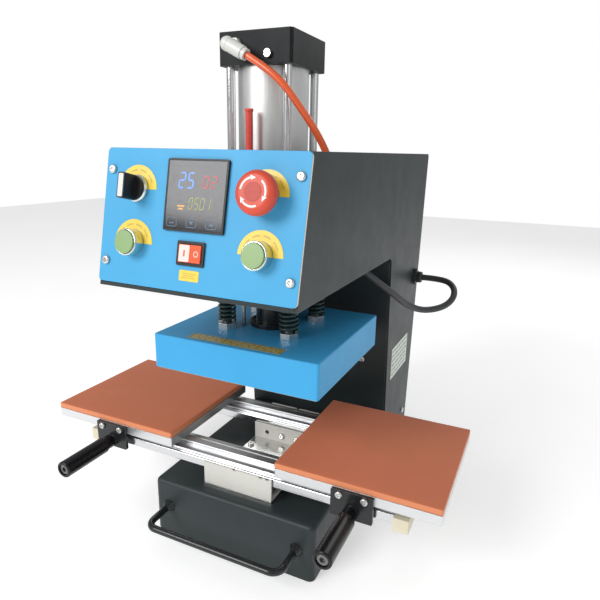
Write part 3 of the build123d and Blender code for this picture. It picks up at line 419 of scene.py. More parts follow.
@dataclass(frozen=True)
class Plastic:
    """Moulded plastic or a rubber sheath."""

    name: str
    colour: Colour
    roughness: float = 0.35
    texture_scale: float = 900.0
    texture_depth: float = 0.000010
    scuff: float = 0.12
    coat: float = 0.0
    emission: float = 0.0
    specular: float = 0.5

    def material(self) -> bpy.types.Material:
        """Makes the plastic.

        Returns:
            The material.
        """
        tree = Tree(self.name)
        rounded = tree.rounded(PLASTIC_EDGE)
        edge = tree.edge(rounded)
        broad = tree.noise(35.0, 4.0)
        fine = tree.noise(self.texture_scale, 2.0)
        rub = tree.noise(240.0, 5.0, 0.75).rise(0.50, 0.75)
        base = tree.blend(broad, shade(self.colour, 0.90), shade(self.colour, 1.10))
        pale = (self.colour[0] * 0.7 + 0.14, self.colour[1] * 0.7 + 0.14, self.colour[2] * 0.7 + 0.14)
        base = tree.blend(rub * self.scuff, base, pale)
        base = tree.blend(edge.rise(0.05, 0.5) * (self.scuff * 1.5), base, pale)
        rough = self.roughness + (fine - 0.5) * 0.10 + (rub - 0.3) * 0.12
        normal = tree.bump(fine, self.texture_depth, rounded)
        return tree.done(Base_Color=base, Roughness=rough, Normal=normal, Coat_Weight=self.coat,
                         Coat_Roughness=0.08, Emission_Color=self.colour,
                         Emission_Strength=self.emission, Specular_IOR_Level=self.specular)


@dataclass(frozen=True)
class Silicone:
    """Open-grained silicone sponge sheet, its sides painted lighter than its top as painted light."""

    name: str
    top: Colour
    lit_side: Colour

    def material(self) -> bpy.types.Material:
        """Makes the sponge.

        Returns:
            The material.
        """
        tree = Tree(self.name)
        broad = tree.noise(11.0, 5.0, 0.6)
        grain = tree.noise(1300.0, 3.0, 0.7)
        pores = 1.0 - tree.cells(950.0).rise(0.10, 0.30)
        up = tree.facing(UP).rise(0.35, 0.75)
        face = tree.blend(broad, shade(self.top, 0.88), shade(self.top, 1.10))
        face = tree.blend(grain.rise(0.45, 0.75) * 0.18, face, shade(self.top, 1.30))
        # The pores are darkened: painted shade in the pores.
        face = tree.blend(pores * 0.35, face, shade(self.top, 0.55))
        # Painted light: the sides take a lighter colour than the top, as if lit from the front.
        side = tree.blend(grain, shade(self.lit_side, 0.85), shade(self.lit_side, 1.12))
        base = tree.blend(up, side, face)
        marks = tree.noise(16.0, 6.0, 0.7).rise(0.55, 0.72)
        base = tree.blend(marks * 0.06, base, shade(self.top, 1.4))
        rough = 0.80 + (grain - 0.5) * 0.14 - marks * 0.12
        height = grain * 0.6 + (1.0 - pores) * 0.4
        return tree.done(Base_Color=base, Roughness=rough, Normal=tree.bump(height, SPONGE_PORE_DEPTH),
                         Sheen_Weight=0.12, Sheen_Roughness=0.5)


@dataclass(frozen=True)
class Film:
    """A printed label, with faint fibre, scuffs and a slightly rolled edge."""

    name: str
    colour: Colour
    roughness: float = 0.42
    age: Colour = (0.35, 0.28, 0.14)

    def material(self) -> bpy.types.Material:
        """Makes the film.

        Returns:
            The material.
        """
        tree = Tree(self.name)
        rounded = tree.rounded(FILM_EDGE)
        blotch = tree.noise(85.0, 5.0, 0.65)
        fibre = tree.noise(900.0, 3.0, 0.6, (1.0, 0.35, 0.35))
        base = tree.blend(blotch, shade(self.colour, 0.86), shade(self.colour, 1.12))
        base = tree.blend(blotch.rise(0.58, 0.75) * 0.22, base, self.age)
        rough = self.roughness + (fibre - 0.5) * 0.2
        return tree.done(Base_Color=base, Roughness=rough, Normal=tree.bump(fibre, FILM_FIBRE_DEPTH, rounded),
                         Coat_Weight=0.3, Coat_Roughness=0.2)


@dataclass(frozen=True)
class Glow:
    """A lit segment of a display."""

    name: str
    colour: Colour
    strength: float = 1.6

    def material(self) -> bpy.types.Material:
        """Makes the glow.

        Returns:
            The material.
        """
        tree = Tree(self.name)
        uneven = tree.noise(600.0, 2.0)
        lit = tree.blend(uneven, shade(self.colour, 0.75), shade(self.colour, 1.1))
        return tree.done(Base_Color=shade(self.colour, 0.4), Emission_Color=lit,
                         Emission_Strength=self.strength, Roughness=0.3)


Finish = Paint | Metal | Plastic | Silicone | Film | Glow

SLATE = Paint("slate_black_paint", (0.026, 0.035, 0.037), 0.44, wear=0.22, coat=0.0, dust=0.05,
              specular=0.28)
CAP_BLACK = Paint("cap_black_anodise", (0.007, 0.009, 0.010), 0.46, peel=0.000006, wear=0.25, coat=0.0,
                  dust=0.02, specular=0.18)
# The panel's side faces carry a painted cream highlight.
PANEL_BLUE = Paint("panel_sky_blue", (0.072, 0.385, 0.680), 0.44, wear=0.0, dust=0.0, specular=0.25,
                   side_highlight=(0.80, 0.76, 0.66), coat=0.0)
PLATEN_BLUE = Paint("platen_blue", (0.052, 0.370, 0.700), 0.42, wear=0.12, coat=0.0, dust=0.02,
                    specular=0.22)
IVORY = Paint("bracket_ivory", (0.66, 0.65, 0.60), 0.45, wear=0.15, coat=0.1)
GLOSS_BLACK = Paint("gloss_black_paint", (0.012, 0.014, 0.015), 0.26, wear=0.25, coat=0.1, dust=0.03,
                    specular=0.4)
SPRING_GREEN = Paint("spring_lacquer", (0.016, 0.042, 0.040), 0.30, wear=0.20, coat=0.2, dust=0.03)
TRAY = Metal("brushed_tray", (0.74, 0.75, 0.76), 0.36, (0.06, 1.0, 1.0), 1400.0, 0.000005)
HEATER = Metal("cast_heater", (0.55, 0.55, 0.54), 0.50, stain=0.4)
BARREL = Metal("satin_barrel", (0.70, 0.71, 0.70), 0.42, (1.0, 1.0, 0.05), 700.0, 0.000006)
RAIL = Metal("drawn_rail", (0.60, 0.61, 0.62), 0.36, (0.03, 1.0, 1.0), 1500.0, 0.000004)
CHROME = Metal("polished_chrome", (0.70, 0.71, 0.72), 0.18, (1.0, 1.0, 0.2), 600.0, 0.000001, 0.08)
ZINC = Metal("zinc_plate", (0.66, 0.66, 0.64), 0.30, stain=0.25)
BEARING = Metal("ground_steel", (0.42, 0.42, 0.42), 0.38, (0.05, 1.0, 1.0), 700.0)
BEZEL_METAL = Metal("polished_bezel", (0.72, 0.75, 0.70), 0.20, (1.0, 0.1, 1.0), 900.0, 0.000002, 0.10)
SPINDLE = Metal("dark_spindle", (0.20, 0.20, 0.20), 0.34)
NYLON = Plastic("natural_nylon", (0.70, 0.64, 0.48), 0.48, scuff=0.10)
GRIP = Plastic("glossy_grip", (0.006, 0.006, 0.007), 0.28, coat=0.08, scuff=0.02, specular=0.3)
GREEN = Plastic("green_cap", (0.26, 0.40, 0.17), 0.36, coat=0.15, scuff=0.08)
RED = Plastic("stop_red", (0.62, 0.075, 0.042), 0.36, coat=0.0, scuff=0.05, specular=0.3)
STOP_DISC = Plastic("stop_disc", (0.46, 0.046, 0.028), 0.38, coat=0.0, scuff=0.04, specular=0.3)
BLACK = Plastic("moulded_black", (0.012, 0.013, 0.015), 0.42, scuff=0.04, specular=0.35)
WINDOW = Plastic("smoked_window", (0.006, 0.007, 0.012), 0.16, coat=0.2, scuff=0.01, specular=0.35)
ROCKER = Plastic("lit_rocker", (0.72, 0.10, 0.035), 0.24, coat=0.3, emission=0.25)
ROCKER_PALE = Plastic("rocker_lit_face", (0.86, 0.62, 0.58), 0.26, coat=0.2, emission=0.35)
HOSE = Plastic("orange_hose", (0.72, 0.105, 0.022), 0.28, coat=0.2)
VENT = Plastic("red_vent", (0.80, 0.07, 0.05), 0.26, coat=0.4)
SHEATH = Plastic("cable_sheath", (0.040, 0.045, 0.048), 0.46, texture_scale=500.0, scuff=0.14)
GLAND = Plastic("gland_nylon", (0.022, 0.024, 0.026), 0.32, scuff=0.10)
WHITE = Plastic("white_fitting", (0.66, 0.66, 0.63), 0.32, coat=0.2)
SPONGE = Silicone("terracotta_sponge", (0.60, 0.165, 0.070), (0.72, 0.25, 0.115))
YELLOW = Film("legend_yellow", (0.85, 0.62, 0.06))
OLIVE = Film("platen_label_film", (0.36, 0.28, 0.07))
GREYGREEN = Film("rating_film", (0.62, 0.70, 0.62), age=(0.45, 0.48, 0.42))
INK = Film("legend_ink", (0.62, 0.43, 0.06), 0.5)
PALE_INK = Film("pale_ink", (0.72, 0.64, 0.35), 0.5)
GREY_INK = Film("grey_ink", (0.26, 0.30, 0.27), 0.5)
BLUE_GLOW = Glow("display_blue", (0.10, 0.28, 0.85), 1.0)
RED_GLOW = Glow("display_red", (0.50, 0.04, 0.05), 0.7)
OLIVE_GLOW = Glow("display_olive", (0.34, 0.36, 0.09), 0.7)
AMBER_GLOW = Glow("display_amber", (0.80, 0.42, 0.08), 0.7)
KEY_GLOW = Glow("display_key", (0.09, 0.17, 0.27), 0.45)

NODE_FINISHES: dict[str, Finish] = {
    "base_box": SLATE, "side_plates": SLATE, "frame_liner": SLATE, "frame_wrap": SLATE,
    "control_panel": PANEL_BLUE, "frame_screws": ZINC, "display_housing": BLACK,
    "display_window": WINDOW, "rocker_housing": BLACK, "rocker_switch": ROCKER,
    "control_labels": YELLOW, "button_bezels": BEZEL_METAL, "short_collars": BEZEL_METAL,
    "contact_blocks": BLACK, "button_left": GREEN, "button_right": GREEN, "estop_stem": BLACK,
    "estop_head": RED, "selector_knob": BLACK, "cylinder_deck": SLATE,
    "cylinder_lower_cap": CAP_BLACK, "cylinder_barrel": BARREL, "cylinder_upper_cap": CAP_BLACK,
    "tie_rods": CHROME, "tie_rod_nuts": ZINC, "air_elbows": WHITE, "cushion_screw": ZINC,
    "vent_tube": VENT, "solenoid_valve": BLACK, "cable_glands": GLAND, "air_inlet": ZINC,
    "mains_inlet": BLACK, "rating_label": GREYGREEN, "front_loop": GLOSS_BLACK,
    "slide_sole": ZINC, "slide_brackets": IVORY, "slide_bearings": BEARING,
    "slide_members": CHROME, "slide_end_blocks": NYLON, "carriage_rails": RAIL,
    "tray_plates": TRAY, "tray_screws": ZINC, "handle_brackets": GLOSS_BLACK,
    "bracket_screws": ZINC, "handle_spindles": SPINDLE, "grip_left": GRIP, "grip_right": GRIP,
    "piston": BARREL, "piston_rod": CHROME, "pressure_plate": GLOSS_BLACK,
    "suspension_bolts": SPRING_GREEN, "suspension_nuts": ZINC, "platen_springs": SPRING_GREEN,
    "platen_cover": PLATEN_BLUE, "heater_plate": HEATER, "platen_label": OLIVE,
    "lead_conduit": ZINC,
}


class Palette:
    """Makes each finish's material once."""

    def __init__(self) -> None:
        """Starts with no materials."""
        self.made: dict[str, bpy.types.Material] = {}

    def get(self, finish: Finish) -> bpy.types.Material:
        """The material of a finish.

        Args:
            finish: The finish.

        Returns:
            Its material, made on first use.
        """
        if finish.name not in self.made:
            self.made[finish.name] = finish.material()
        return self.made[finish.name]

    def dress(self, piece: bpy.types.Object, finish: Finish) -> None:
        """Gives a piece one finish all over.

        Args:
            piece: The object.
            finish: The finish.
        """
        material = self.get(finish)
        if not piece.material_slots:
            piece.data.materials.append(material)
        for slot in piece.material_slots:
            slot.material = material


# --------------------------------------------------------------------------- mesh tools


def add_mesh(name: str, made: bmesh.types.BMesh, smooth: bool = False) -> bpy.types.Object:
    """Turns a bmesh into an object in the scene.

    Args:
        name: The object's name.
        made: The bmesh, which is freed.
        smooth: Whether its faces are smooth.

    Returns:
        The object.
    """
    bmesh.ops.recalc_face_normals(made, faces=made.faces)
    data = bpy.data.meshes.new(name)
    made.to_mesh(data)
    made.free()
    for polygon in data.polygons:
        polygon.use_smooth = smooth
    piece = bpy.data.objects.new(name, data)
    bpy.context.collection.objects.link(piece)
    return piece


def add_prism(made: bmesh.types.BMesh, outline: list[Point2], low: float, high: float,
              place: Matrix) -> None:
    """Adds a flat prism.

    Args:
        made: The bmesh it goes in.
        outline: Its corners in millimetres.
        low: Its lower height in millimetres.
        high: Its upper height in millimetres.
        place: Where its plane is, in metres.
    """
    lower = [made.verts.new(place @ Vector((u * MM, v * MM, low * MM))) for u, v in outline]
    upper = [made.verts.new(place @ Vector((u * MM, v * MM, high * MM))) for u, v in outline]
    made.faces.new(lower)
    made.faces.new(upper)
    count = len(outline)
    for i in range(count):
        j = (i + 1) % count
        made.faces.new((lower[i], lower[j], upper[j], upper[i]))


def rounded_outline(width: float, height: float, radius: float, steps: int = 4) -> list[Point2]:
    """A rectangle with round corners, centred on zero.

    Args:
        width: Its width.
        height: Its height.
        radius: Its corner radius.
        steps: Segments in each corner.

    Returns:
        Its corners in order.
    """
    points = []
    for quarter, (sx, sy) in enumerate(((1, 1), (-1, 1), (-1, -1), (1, -1))):
        for i in range(steps + 1):
            angle = (quarter + i / steps) * math.pi / 2
            points.append((sx * (width / 2 - radius) + radius * math.cos(angle),
                           sy * (height / 2 - radius) + radius * math.sin(angle)))
    return points


def shift(outline: list[Point2], u: float, v: float) -> list[Point2]:
    """Moves an outline."""
    return [(a + u, b + v) for a, b in outline]


def arc_band(radius: float, width: float, start: float, end: float, steps: int = 14) -> list[Point2]:
    """A curved band between two angles.

    Args:
        radius: Its middle radius.
        width: Its width.
        start: Its first angle in degrees.
        end: Its last angle in degrees.
        steps: Segments along it.

    Returns:
        Its corners in order.
    """
    outer, inner = [], []
    for i in range(steps + 1):
        angle = math.radians(start + (end - start) * i / steps)
        outer.append(((radius + width / 2) * math.cos(angle), (radius + width / 2) * math.sin(angle)))
        inner.append(((radius - width / 2) * math.cos(angle), (radius - width / 2) * math.sin(angle)))
    return outer + inner[::-1]


# --------------------------------------------------------------------------- sub-assemblies


@dataclass
class Press:
    """What every sub-assembly shares."""

    frame: dict
    palette: Palette = field(default_factory=Palette)

    def dress_nodes(self) -> None:
        """Gives every carried-over node its finish."""
        for name, finish in NODE_FINISHES.items():
            self.palette.dress(self.frame["nodes"][name], finish)
        LOG.info("dressed %d nodes", len(NODE_FINISHES))


@dataclass
class Pads:
    """The two sponge pads, slightly crowned, with soft edges."""

    press: Press
    edge: float = 1.5
    crown: float = 0.35
    waist: float = 0.35
    cuts: int = 22
    rim_share: float = 0.6
    ripple_share: float = 0.4

    def build(self) -> None:
        """Builds both pads inside the space of their node."""
        low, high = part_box("silicone_pads")
        width = self._pad_width()
        for name, x0 in (("pad_left", low.x), ("pad_right", high.x - width)):
            pad = self._pad(name, Vector((x0, low.y, low.z)), Vector((x0 + width, high.y, high.z)))
            self.press.palette.dress(pad, SPONGE)
            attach(pad, "table")
            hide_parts("silicone_pads")
            LOG.info("built %s", name)

    def _pad_width(self) -> float:
        """One pad's width, from the two trays under them."""
        low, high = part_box("tray_plates")
        middle = (low.x + high.x) / 2
        trays = self.press.frame["nodes"]["tray_plates"]
        left = [v.co.x for v in trays.data.vertices if v.co.x < middle]
        return max(left) - low.x

    def _pad(self, name: str, low: Vector, high: Vector) -> bpy.types.Object:
        """Builds one pad.

        Args:
            name: The pad's name.
            low: Its lowest corner.
            high: Its highest corner.

        Returns:
            The pad.
        """
        made = bmesh.new()
        bmesh.ops.create_cube(made, size=1.0)
        size = high - low
        middle = (high + low) / 2
        for vert in made.verts:
            vert.co = Vector((vert.co.x * size.x, vert.co.y * size.y, vert.co.z * size.z)) + middle
        bmesh.ops.bevel(made, geom=list(made.edges), offset=self.edge * MM, segments=3,
                        profile=0.5, affect="EDGES")
        for axis in (Vector((1, 0, 0)), Vector((0, 1, 0))):
            for i in range(1, self.cuts):
                at = middle + axis * (size.dot(axis) * (i / self.cuts - 0.5))
                geom = list(made.verts) + list(made.edges) + list(made.faces)
                bmesh.ops.bisect_plane(made, geom=geom, plane_co=at, plane_no=axis)
        for vert in made.verts:
            u = (vert.co.x - middle.x) / (size.x / 2)
            v = (vert.co.y - middle.y) / (size.y / 2)
            lift = (vert.co.z - low.z) / size.z
            ripple = 0.5 + 0.5 * math.sin(u * 5.0 + v * 3.0) * math.cos(v * 4.0 - u)
            fall = self.crown * (self.rim_share * max(abs(u), abs(v)) ** 4 + self.ripple_share * ripple)
            vert.co.z -= fall * MM * lift
            belly = math.sin(math.pi * min(1.0, max(0.0, lift))) * self.waist * MM
            vert.co.x -= belly * u * abs(u) ** 7
            vert.co.y -= belly * v * abs(v) ** 7
        return add_mesh(name, made, smooth=True)


class Lay(Enum):
    """How a cord lies."""

    LOOSE = "loose"
    HANGING = "hanging"


@dataclass
class Cord:
    """One cord, drawn as a smooth curve on its own control points."""

    press: Press
    name: str
    node: str
    slot: str
    finish: Finish
    diameter: float
    length: float
    stiffness: str
    lay: Lay
    points: list[Point3]

    def build(self) -> None:
        data = bpy.data.curves.new(self.name, "CURVE")
        data.dimensions = "3D"
        spline = data.splines.new("NURBS")
        spline.points.add(len(self.points) - 1)
        for point, place in zip(spline.points, self.points):
            point.co = (*place, 1.0)
        spline.order_u = 3
        spline.use_endpoint_u = True
        spline.resolution_u = 16
        data.bevel_depth = self.diameter / 2
        data.bevel_resolution = 7
        data.use_fill_caps = True
        piece = bpy.data.objects.new(self.name, data)
        bpy.context.collection.objects.link(piece)
        self.press.palette.dress(piece, self.finish)
        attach(piece, "frame")
        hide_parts(self.node)
        LOG.info("built %s", self.name)


HOSE_DIAMETER = 0.008
HOSE_LENGTH = 0.159
CABLE_DIAMETER = 0.010
CABLE_LENGTH = 0.299
HOSE_POINTS: list[Point3] = [
    (0.0, -0.064, 0.6055), (0.024, -0.064, 0.592), (0.046, -0.062, 0.574), (0.062, -0.057, 0.552),
    (0.077, -0.049, 0.529), (0.088, -0.040, 0.505), (0.094, -0.036, 0.487),
]
CABLE_POINTS: list[Point3] = [
    (0.136, 0.288, 0.303), (0.171, 0.288, 0.304), (0.192, 0.274, 0.2975), (0.198, 0.250, 0.284),
    (0.186, 0.226, 0.272), (0.158, 0.205, 0.268), (0.139, 0.174, 0.283), (0.128, 0.140, 0.306),
    (0.110, 0.114, 0.327), (0.092, 0.098, 0.346),
]


@dataclass(frozen=True)
class Figures:
    """A row of seven-segment figures on the panel, in millimetres."""

    chars: str
    u: float
    v: float
    step: float
    width: float
    height: float
    line: float


BLUE_FIGURES = Figures("25", -23.0, 32.0, 10.5, 8.0, 16.5, 1.7)
RED_FIGURES = Figures("02", 6.0, 33.0, 9.5, 7.0, 12.5, 1.3)
OLIVE_FIGURES = Figures("0501", -9.0, 11.5, 7.0, 5.2, 12.0, 0.95)
SIGN_U = -17.5
SIGN_LINE = 1.6
SIGN_LINES = ((9.0, 14.4), (6.0, 11.6))
KEY_V = -2.0
KEY_OUTER = (13.0, 9.5, 2.6)
KEY_INNER = (11.6, 8.1, 2.0)
KEYS: list[tuple[float, list[Point2]]] = [
    (-27.0, [(-2.6, -1.6), (2.6, -1.6), (2.6, -0.4), (-2.6, -0.4)]),
    (-3.0, [(-3.0, 1.6), (3.0, 1.6), (0.0, -2.0)]),
    (21.0, [(-3.0, -1.6), (3.0, -1.6), (0.0, 2.0)]),
]
ARROW_STARTS = (80.0, 200.0, 320.0)
LEGEND_TICKS = ((22, 48), (60, 84), (96, 120), (132, 158))
LEGEND_BARS = ((17.0, -52.9), (13.0, -55.0), (17.0, -57.1))


@dataclass
class PanelDetails:
    """Figures, keys, arrows and printed marks on the control panel."""

    press: Press
    tilt: float = 12.14
    bottom_y: float = -181.7
    bottom_z: float = 365.2
    height: float = 144.2
    control_u: float = 77.0
    upper_v: float = 29.5
    lower_v: float = -27.5
    window_n: float = 2.92
    figure_t: float = 0.14
    mushroom_n: float = 25.5
    knob_n: float = 25.5
    legend_n: float = 0.35
    stop_disc_r: float = 9.0
    arrow_r: float = 13.2
    arrow_line: float = 2.0
    arrow_barb: float = 2.6
    tick_r: float = 19.8
    rocker_u: float = -1.5
    rocker_v: float = -32.5
    rocker_pivot_n: float = -4.0
    rocker_tip: float = 7.0
    rocker_half: float = 6.6
    rocker_face_n: float = 3.82

    def place(self) -> Matrix:
        """The panel's plane: X across, Y up the panel, Z outward."""
        angle = math.radians(self.tilt)
        up = Vector((0.0, math.sin(angle), math.cos(angle)))
        out = Vector((0.0, -math.cos(angle), math.sin(angle)))
        start = Vector((0.0, self.bottom_y, self.bottom_z)) * MM + up * (self.height / 2 * MM)
        turn = Matrix((Vector((1, 0, 0)), up, out)).transposed().to_4x4()
        return Matrix.Translation(start) @ turn

    def add(self, name: str, outlines: list[list[Point2]], low: float, thick: float,
            finish: Finish, slot: str, body: str = "frame") -> bpy.types.Object:
        """Adds one piece made of flat shapes on the panel.

        Args:
            name: The piece's name.
            outlines: Its shapes in millimetres.
            low: Its lower height off the panel.
            thick: Its thickness.
            finish: Its finish.
            slot: Not used.
            body: The body it rides on.

        Returns:
            The piece.
        """
        made = bmesh.new()
        for outline in outlines:
            add_prism(made, outline, low, low + thick, self.place())
        piece = add_mesh(name, made)
        self.press.palette.dress(piece, finish)
        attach(piece, body)
        LOG.info("built %s", name)
        return piece

    @staticmethod
    def digit(char: str, u: float, v: float, width: float, height: float, line: float,
              slant: float = 0.12) -> list[list[Point2]]:
        """The lit segments of one seven-segment figure.

        Args:
            char: A figure from 0 to 9.
            u: Its left edge.
            v: Its lower edge.
            width: Its width.
            height: Its height.
            line: The width of its segments.
            slant: How far it leans.

        Returns:
            One outline for each lit segment.
        """
        lit = {"0": "abcdef", "1": "bc", "2": "abged", "5": "afgcd"}[char]
        half, gap, tip = height / 2, line * 0.12, line / 2
        across = {"a": height - tip, "g": half, "d": tip}
        upright = {"f": (tip, half), "b": (width - tip, half), "e": (tip, 0.0), "c": (width - tip, 0.0)}
        shapes = []
        for name in lit:
            if name in across:
                y, x0, x1 = across[name], tip + gap, width - tip - gap
                shape = [(x0, y), (x0 + tip, y + tip), (x1 - tip, y + tip),
                         (x1, y), (x1 - tip, y - tip), (x0 + tip, y - tip)]
            else:
                x, base = upright[name]
                y0, y1 = base + gap + tip * (base == 0.0), base + half - gap - tip * (base > 0.0)
                shape = [(x, y0), (x + tip, y0 + tip), (x + tip, y1 - tip),
                         (x, y1), (x - tip, y1 - tip), (x - tip, y0 + tip)]
            shapes.append([(u + a + slant * b, v + b) for a, b in shape])
        return shapes

    def row(self, figures: Figures) -> list[list[Point2]]:
        """The lit segments of a row of figures."""
        shapes = []
        for i, char in enumerate(figures.chars):
            u = figures.u + i * figures.step
            shapes += self.digit(char, u, figures.v, figures.width, figures.height, figures.line)
        return shapes

    def figures(self) -> None:
        """Lit figures, the small sign and the three keys of the controller."""
        sign = [shift(rounded_outline(width, SIGN_LINE, 0.5), SIGN_U, v) for width, v in SIGN_LINES]
        outer = rounded_outline(*KEY_OUTER, 5)
        inner = rounded_outline(*KEY_INNER, 5)
        count = len(outer)
        keys = []
        for u, mark in KEYS:
            for k in range(count):
                j = (k + 1) % count
                keys.append(shift([outer[k], outer[j], inner[j], inner[k]], u, KEY_V))
            keys.append(shift(mark, u, KEY_V))
        for name, shapes, finish in (
            ("display_blue_figures", self.row(BLUE_FIGURES), BLUE_GLOW),
            ("display_red_figures", self.row(RED_FIGURES), RED_GLOW),
            ("display_olive_figures", self.row(OLIVE_FIGURES), OLIVE_GLOW),
            ("display_sign", sign, AMBER_GLOW),
            ("display_keys", keys, KEY_GLOW),
        ):
            self.add(name, shapes, self.window_n, self.figure_t, finish, "display_glass")

    def stop_arrows(self) -> None:
        """Three curved arrows round a darker disc on the mushroom head."""
        mean, barb = self.arrow_r, self.arrow_barb
        shapes = []
        for start in ARROW_STARTS:
            band = arc_band(mean, self.arrow_line, start + 22, start + 92)
            shapes.append(shift(band, self.control_u, self.upper_v))
            tip = math.radians(start)
            root = math.radians(start + 24)
            head = [((mean + barb) * math.cos(root), (mean + barb) * math.sin(root)),
                    ((mean - barb) * math.cos(root), (mean - barb) * math.sin(root)),
                    (mean * math.cos(tip), mean * math.sin(tip))]
            shapes.append(shift(head, self.control_u, self.upper_v))
        low = self.mushroom_n + 0.02
        self.add("stop_arrows", shapes, low, 0.25, WHITE, "fitting_white", "stop_head")
        ring = arc_band(self.stop_disc_r / 2, self.stop_disc_r - 0.4, 0, 359.5, 40)
        disc = shift(ring, self.control_u, self.upper_v)
        self.add("stop_disc", [disc], low, 0.2, STOP_DISC, "stop_red", "stop_head")

    def selector_strip(self) -> None:
        """The white pointer strip on the selector's lever."""
        strip = shift(rounded_outline(6.4, 23.5, 1.4), -self.control_u, self.upper_v)
        self.add("selector_strip", [strip], self.knob_n + 0.02, 0.3, WHITE, "fitting_white", "selector")

    def legend_marks(self) -> None:
        """Plain ticks on the half-ring legends and bars on the small plate."""
        ticks = []
        for u in (-self.control_u, self.control_u):
            for v in (self.upper_v, self.lower_v):
                for start, end in LEGEND_TICKS:
                    ticks.append(shift(arc_band(self.tick_r, 1.5, start, end, 6), u, v))
        for row, (width, v) in enumerate(LEGEND_BARS):
            ticks.append(shift(rounded_outline(width, 0.9, 0.3, 2), -2.0 - 0.5 * row, v))
        self.add("legend_marks", ticks, self.legend_n + 0.01, 0.08, INK, "label_yellow")

    def rocker_marks(self) -> None:
        """The pale lit face on the rocker's left half, and the line and ring on its halves."""
        angle = math.radians(self.rocker_tip)
        pivot = Vector((self.rocker_u, self.rocker_v, self.rocker_pivot_n)) * MM
        tip = Matrix.Translation(pivot) @ Matrix.Rotation(angle, 4, "Y") @ Matrix.Translation(-pivot)
        dip = math.atan2(2.6, 12.2)
        parts = (
            ("rocker_lit_face", -1, rounded_outline(10.6, 17.0, 1.2), 0.02, 0.06, ROCKER_PALE,
             "fitting_white"),
            ("rocker_line", -1, rounded_outline(1.4, 6.5, 0.5), 0.07, 0.16, ROCKER, "rocker_red"),
            ("rocker_ring", 1, arc_band(2.6, 1.0, 0, 359, 20), 0.03, 0.16, WHITE, "fitting_white"),
        )
        for name, side, outline, low, high, finish, slot in parts:
            u = self.rocker_u + side * self.rocker_half
            slope = Matrix.Translation(Vector((u, self.rocker_v, self.rocker_face_n)) * MM)
            face = slope @ Matrix.Rotation(-side * dip, 4, "Y")
            made = bmesh.new()
            add_prism(made, outline, low, high, self.place() @ tip @ face)
            piece = add_mesh(name, made)
            self.press.palette.dress(piece, finish)
            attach(piece, "rocker")
            LOG.info("built %s", name)

    def build(self) -> None:
        """Builds every detail of the panel."""
        self.figures()
        self.stop_arrows()
        self.selector_strip()
        self.legend_marks()
        self.rocker_marks()


@dataclass
class PrintedMarks:
    """Plain bars that stand for print on the platen's label and on the rating label."""

    press: Press
    lift: float = 0.02
    thick: float = 0.06
    margin: float = 5.0
    gap: float = 3.0
    bar_share: float = 0.07
    runs: tuple[float, ...] = (9.0, 5.0, 13.0, 7.0)

    def bars(self, name: str, node: str, finish: Finish, body: str, up: bool) -> None:
        """Adds rows of bars on a label.

        Args:
            name: The piece's name.
            node: The label's node.
            finish: The bars' finish.
            body: The body they ride on.
            up: Whether the label faces up rather than to the right.
        """
        low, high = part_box(node)
        if up:
            place = Matrix.Translation(Vector(((low.x + high.x) / 2, (low.y + high.y) / 2, high.z)))
            width, height = (high.x - low.x) / MM, (high.y - low.y) / MM
        else:
            turn = Matrix((Vector((0, 1, 0)), Vector((0, 0, 1)), Vector((1, 0, 0)))).transposed().to_4x4()
            place = Matrix.Translation(Vector((high.x, (low.y + high.y) / 2, (low.z + high.z) / 2))) @ turn
            width, height = (high.y - low.y) / MM, (high.z - low.z) / MM
        made = bmesh.new()
        rows = 3 if up else 6
        for row in range(rows):
            v = height * ((row + 0.8) / (rows + 0.6) - 0.5)
            u = -width / 2 + self.margin
            step = 0
            while u < width / 2 - self.margin - self.gap:
                run = self.runs[(step + row) % len(self.runs)]
                run = min(run, width / 2 - self.margin - u)
                bar = rounded_outline(run, height * self.bar_share, 0.2, 2)
                add_prism(made, shift(bar, u + run / 2, v), self.lift, self.lift + self.thick, place)
                u += run + self.gap
                step += 1
        piece = add_mesh(name, made)
        self.press.palette.dress(piece, finish)
        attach(piece, body)
        LOG.info("built %s", name)

    def build(self) -> None:
        """Builds both sets of bars."""
        self.bars("platen_label_bars", "platen_label", PALE_INK, "platen", True)
        self.bars("rating_label_bars", "rating_label", GREY_INK, "frame", False)


@dataclass(frozen=True)
class Lamp:
    """A soft square light: its position and side in metres, and its power in watts."""

    name: str
    place: Point3
    size: float
    watts: float


LAMPS = (
    Lamp("key_light", (-1.0, -2.0, 1.5), 1.2, 40.0),
    Lamp("fill_light", (1.9, -0.9, 1.3), 1.5, 4.0),
    Lamp("back_light", (0.6, 1.9, 1.6), 1.2, 8.0),
)


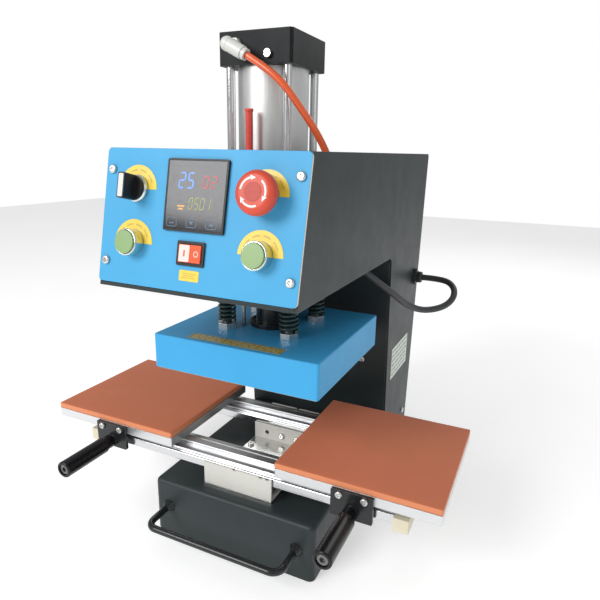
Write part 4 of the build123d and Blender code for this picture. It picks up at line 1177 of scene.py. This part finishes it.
@dataclass
class Studio:
    """Floor, lights, world and camera."""

    palette: Palette
    eye: Point3 = (0.32385, -0.61243, 0.50503)
    target: Point3 = (0.0, 0.09181, 0.28884)
    roll: float = 0.01976
    focal: float = 537.33
    centre: Point2 = (301.43, 302.03)
    side: float = 600.0
    sensor: float = 36.0
    ambient: float = 0.45
    floor_glow: float = 0.40
    floor_half: float = 4.0
    floor_drop: float = 0.0004
    lit_point: Point3 = (0.0, 0.05, 0.3)

    def camera(self) -> None:
        """Adds the camera."""
        data = bpy.data.cameras.new("view_camera")
        data.sensor_width = self.sensor
        data.sensor_fit = "HORIZONTAL"
        data.lens = self.focal * self.sensor / self.side
        data.shift_x = (self.side / 2 - self.centre[0]) / self.side
        data.shift_y = (self.centre[1] - self.side / 2) / self.side
        data.clip_start = 0.01
        camera = bpy.data.objects.new("view_camera", data)
        bpy.context.collection.objects.link(camera)
        ahead = (Vector(self.target) - Vector(self.eye)).normalized()
        right = ahead.cross(Vector((0, 0, 1))).normalized()
        up = right.cross(ahead)
        cosine, sine = math.cos(self.roll), math.sin(self.roll)
        right2 = right * cosine + up * sine
        up2 = up * cosine - right * sine
        turn = Matrix((right2, up2, -ahead)).transposed().to_4x4()
        camera.matrix_world = Matrix.Translation(Vector(self.eye)) @ turn
        bpy.context.scene.camera = camera

    def light(self, lamp: Lamp) -> None:
        """Adds a soft square light aimed at the press."""
        data = bpy.data.lights.new(lamp.name, "AREA")
        data.size = lamp.size
        data.energy = lamp.watts
        made = bpy.data.objects.new(lamp.name, data)
        bpy.context.collection.objects.link(made)
        made.location = lamp.place
        aim = Vector(self.lit_point) - Vector(lamp.place)
        made.rotation_euler = aim.to_track_quat("-Z", "Y").to_euler()

    def floor(self) -> None:
        """Adds the plain pale floor."""
        made = bmesh.new()
        bmesh.ops.create_grid(made, x_segments=8, y_segments=8, size=self.floor_half)
        for vert in made.verts:
            vert.co.z = -self.floor_drop
        floor = add_mesh("floor", made)
        tree = Tree("pale_floor")
        tone = tree.blend(tree.noise(3.0, 3.0), (0.90, 0.90, 0.90), (0.94, 0.94, 0.94))
        floor.data.materials.append(tree.done(Base_Color=tone, Roughness=0.85, Emission_Color=tone,
                                              Emission_Strength=self.floor_glow))

    def build(self) -> None:
        """Builds the whole studio."""
        world = bpy.data.worlds.new("studio_world")
        world.use_nodes = True
        nodes, links = world.node_tree.nodes, world.node_tree.links
        nodes["Background"].inputs["Color"].default_value = (1.0, 1.0, 1.0, 1.0)
        rays = nodes.new("ShaderNodeLightPath")
        level = nodes.new("ShaderNodeMapRange")
        level.inputs["To Min"].default_value = self.ambient
        level.inputs["To Max"].default_value = 1.0
        links.new(rays.outputs["Is Camera Ray"], level.inputs["Value"])
        links.new(level.outputs["Result"], nodes["Background"].inputs["Strength"])
        bpy.context.scene.world = world
        bpy.context.scene.view_settings.view_transform = "Standard"
        for lamp in LAMPS:
            self.light(lamp)
        self.floor()
        self.camera()
        LOG.info("built the studio")


def main() -> None:
    """Builds everything in order."""
    logging.basicConfig(level=logging.INFO, format="%(message)s")
    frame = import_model()
    press = Press(frame)
    Studio(press.palette).build()
    Cord(press, "supply_hose", "air_hose", "hose_orange", HOSE, HOSE_DIAMETER, HOSE_LENGTH,
         "medium", Lay.LOOSE, HOSE_POINTS).build()
    Cord(press, "mains_cable", "power_cable", "cable_grey", SHEATH, CABLE_DIAMETER, CABLE_LENGTH,
         "limp", Lay.HANGING, CABLE_POINTS).build()
    press.dress_nodes()
    Pads(press).build()
    PanelDetails(press).build()
    PrintedMarks(press).build()


if __name__ == "__main__":
    main()
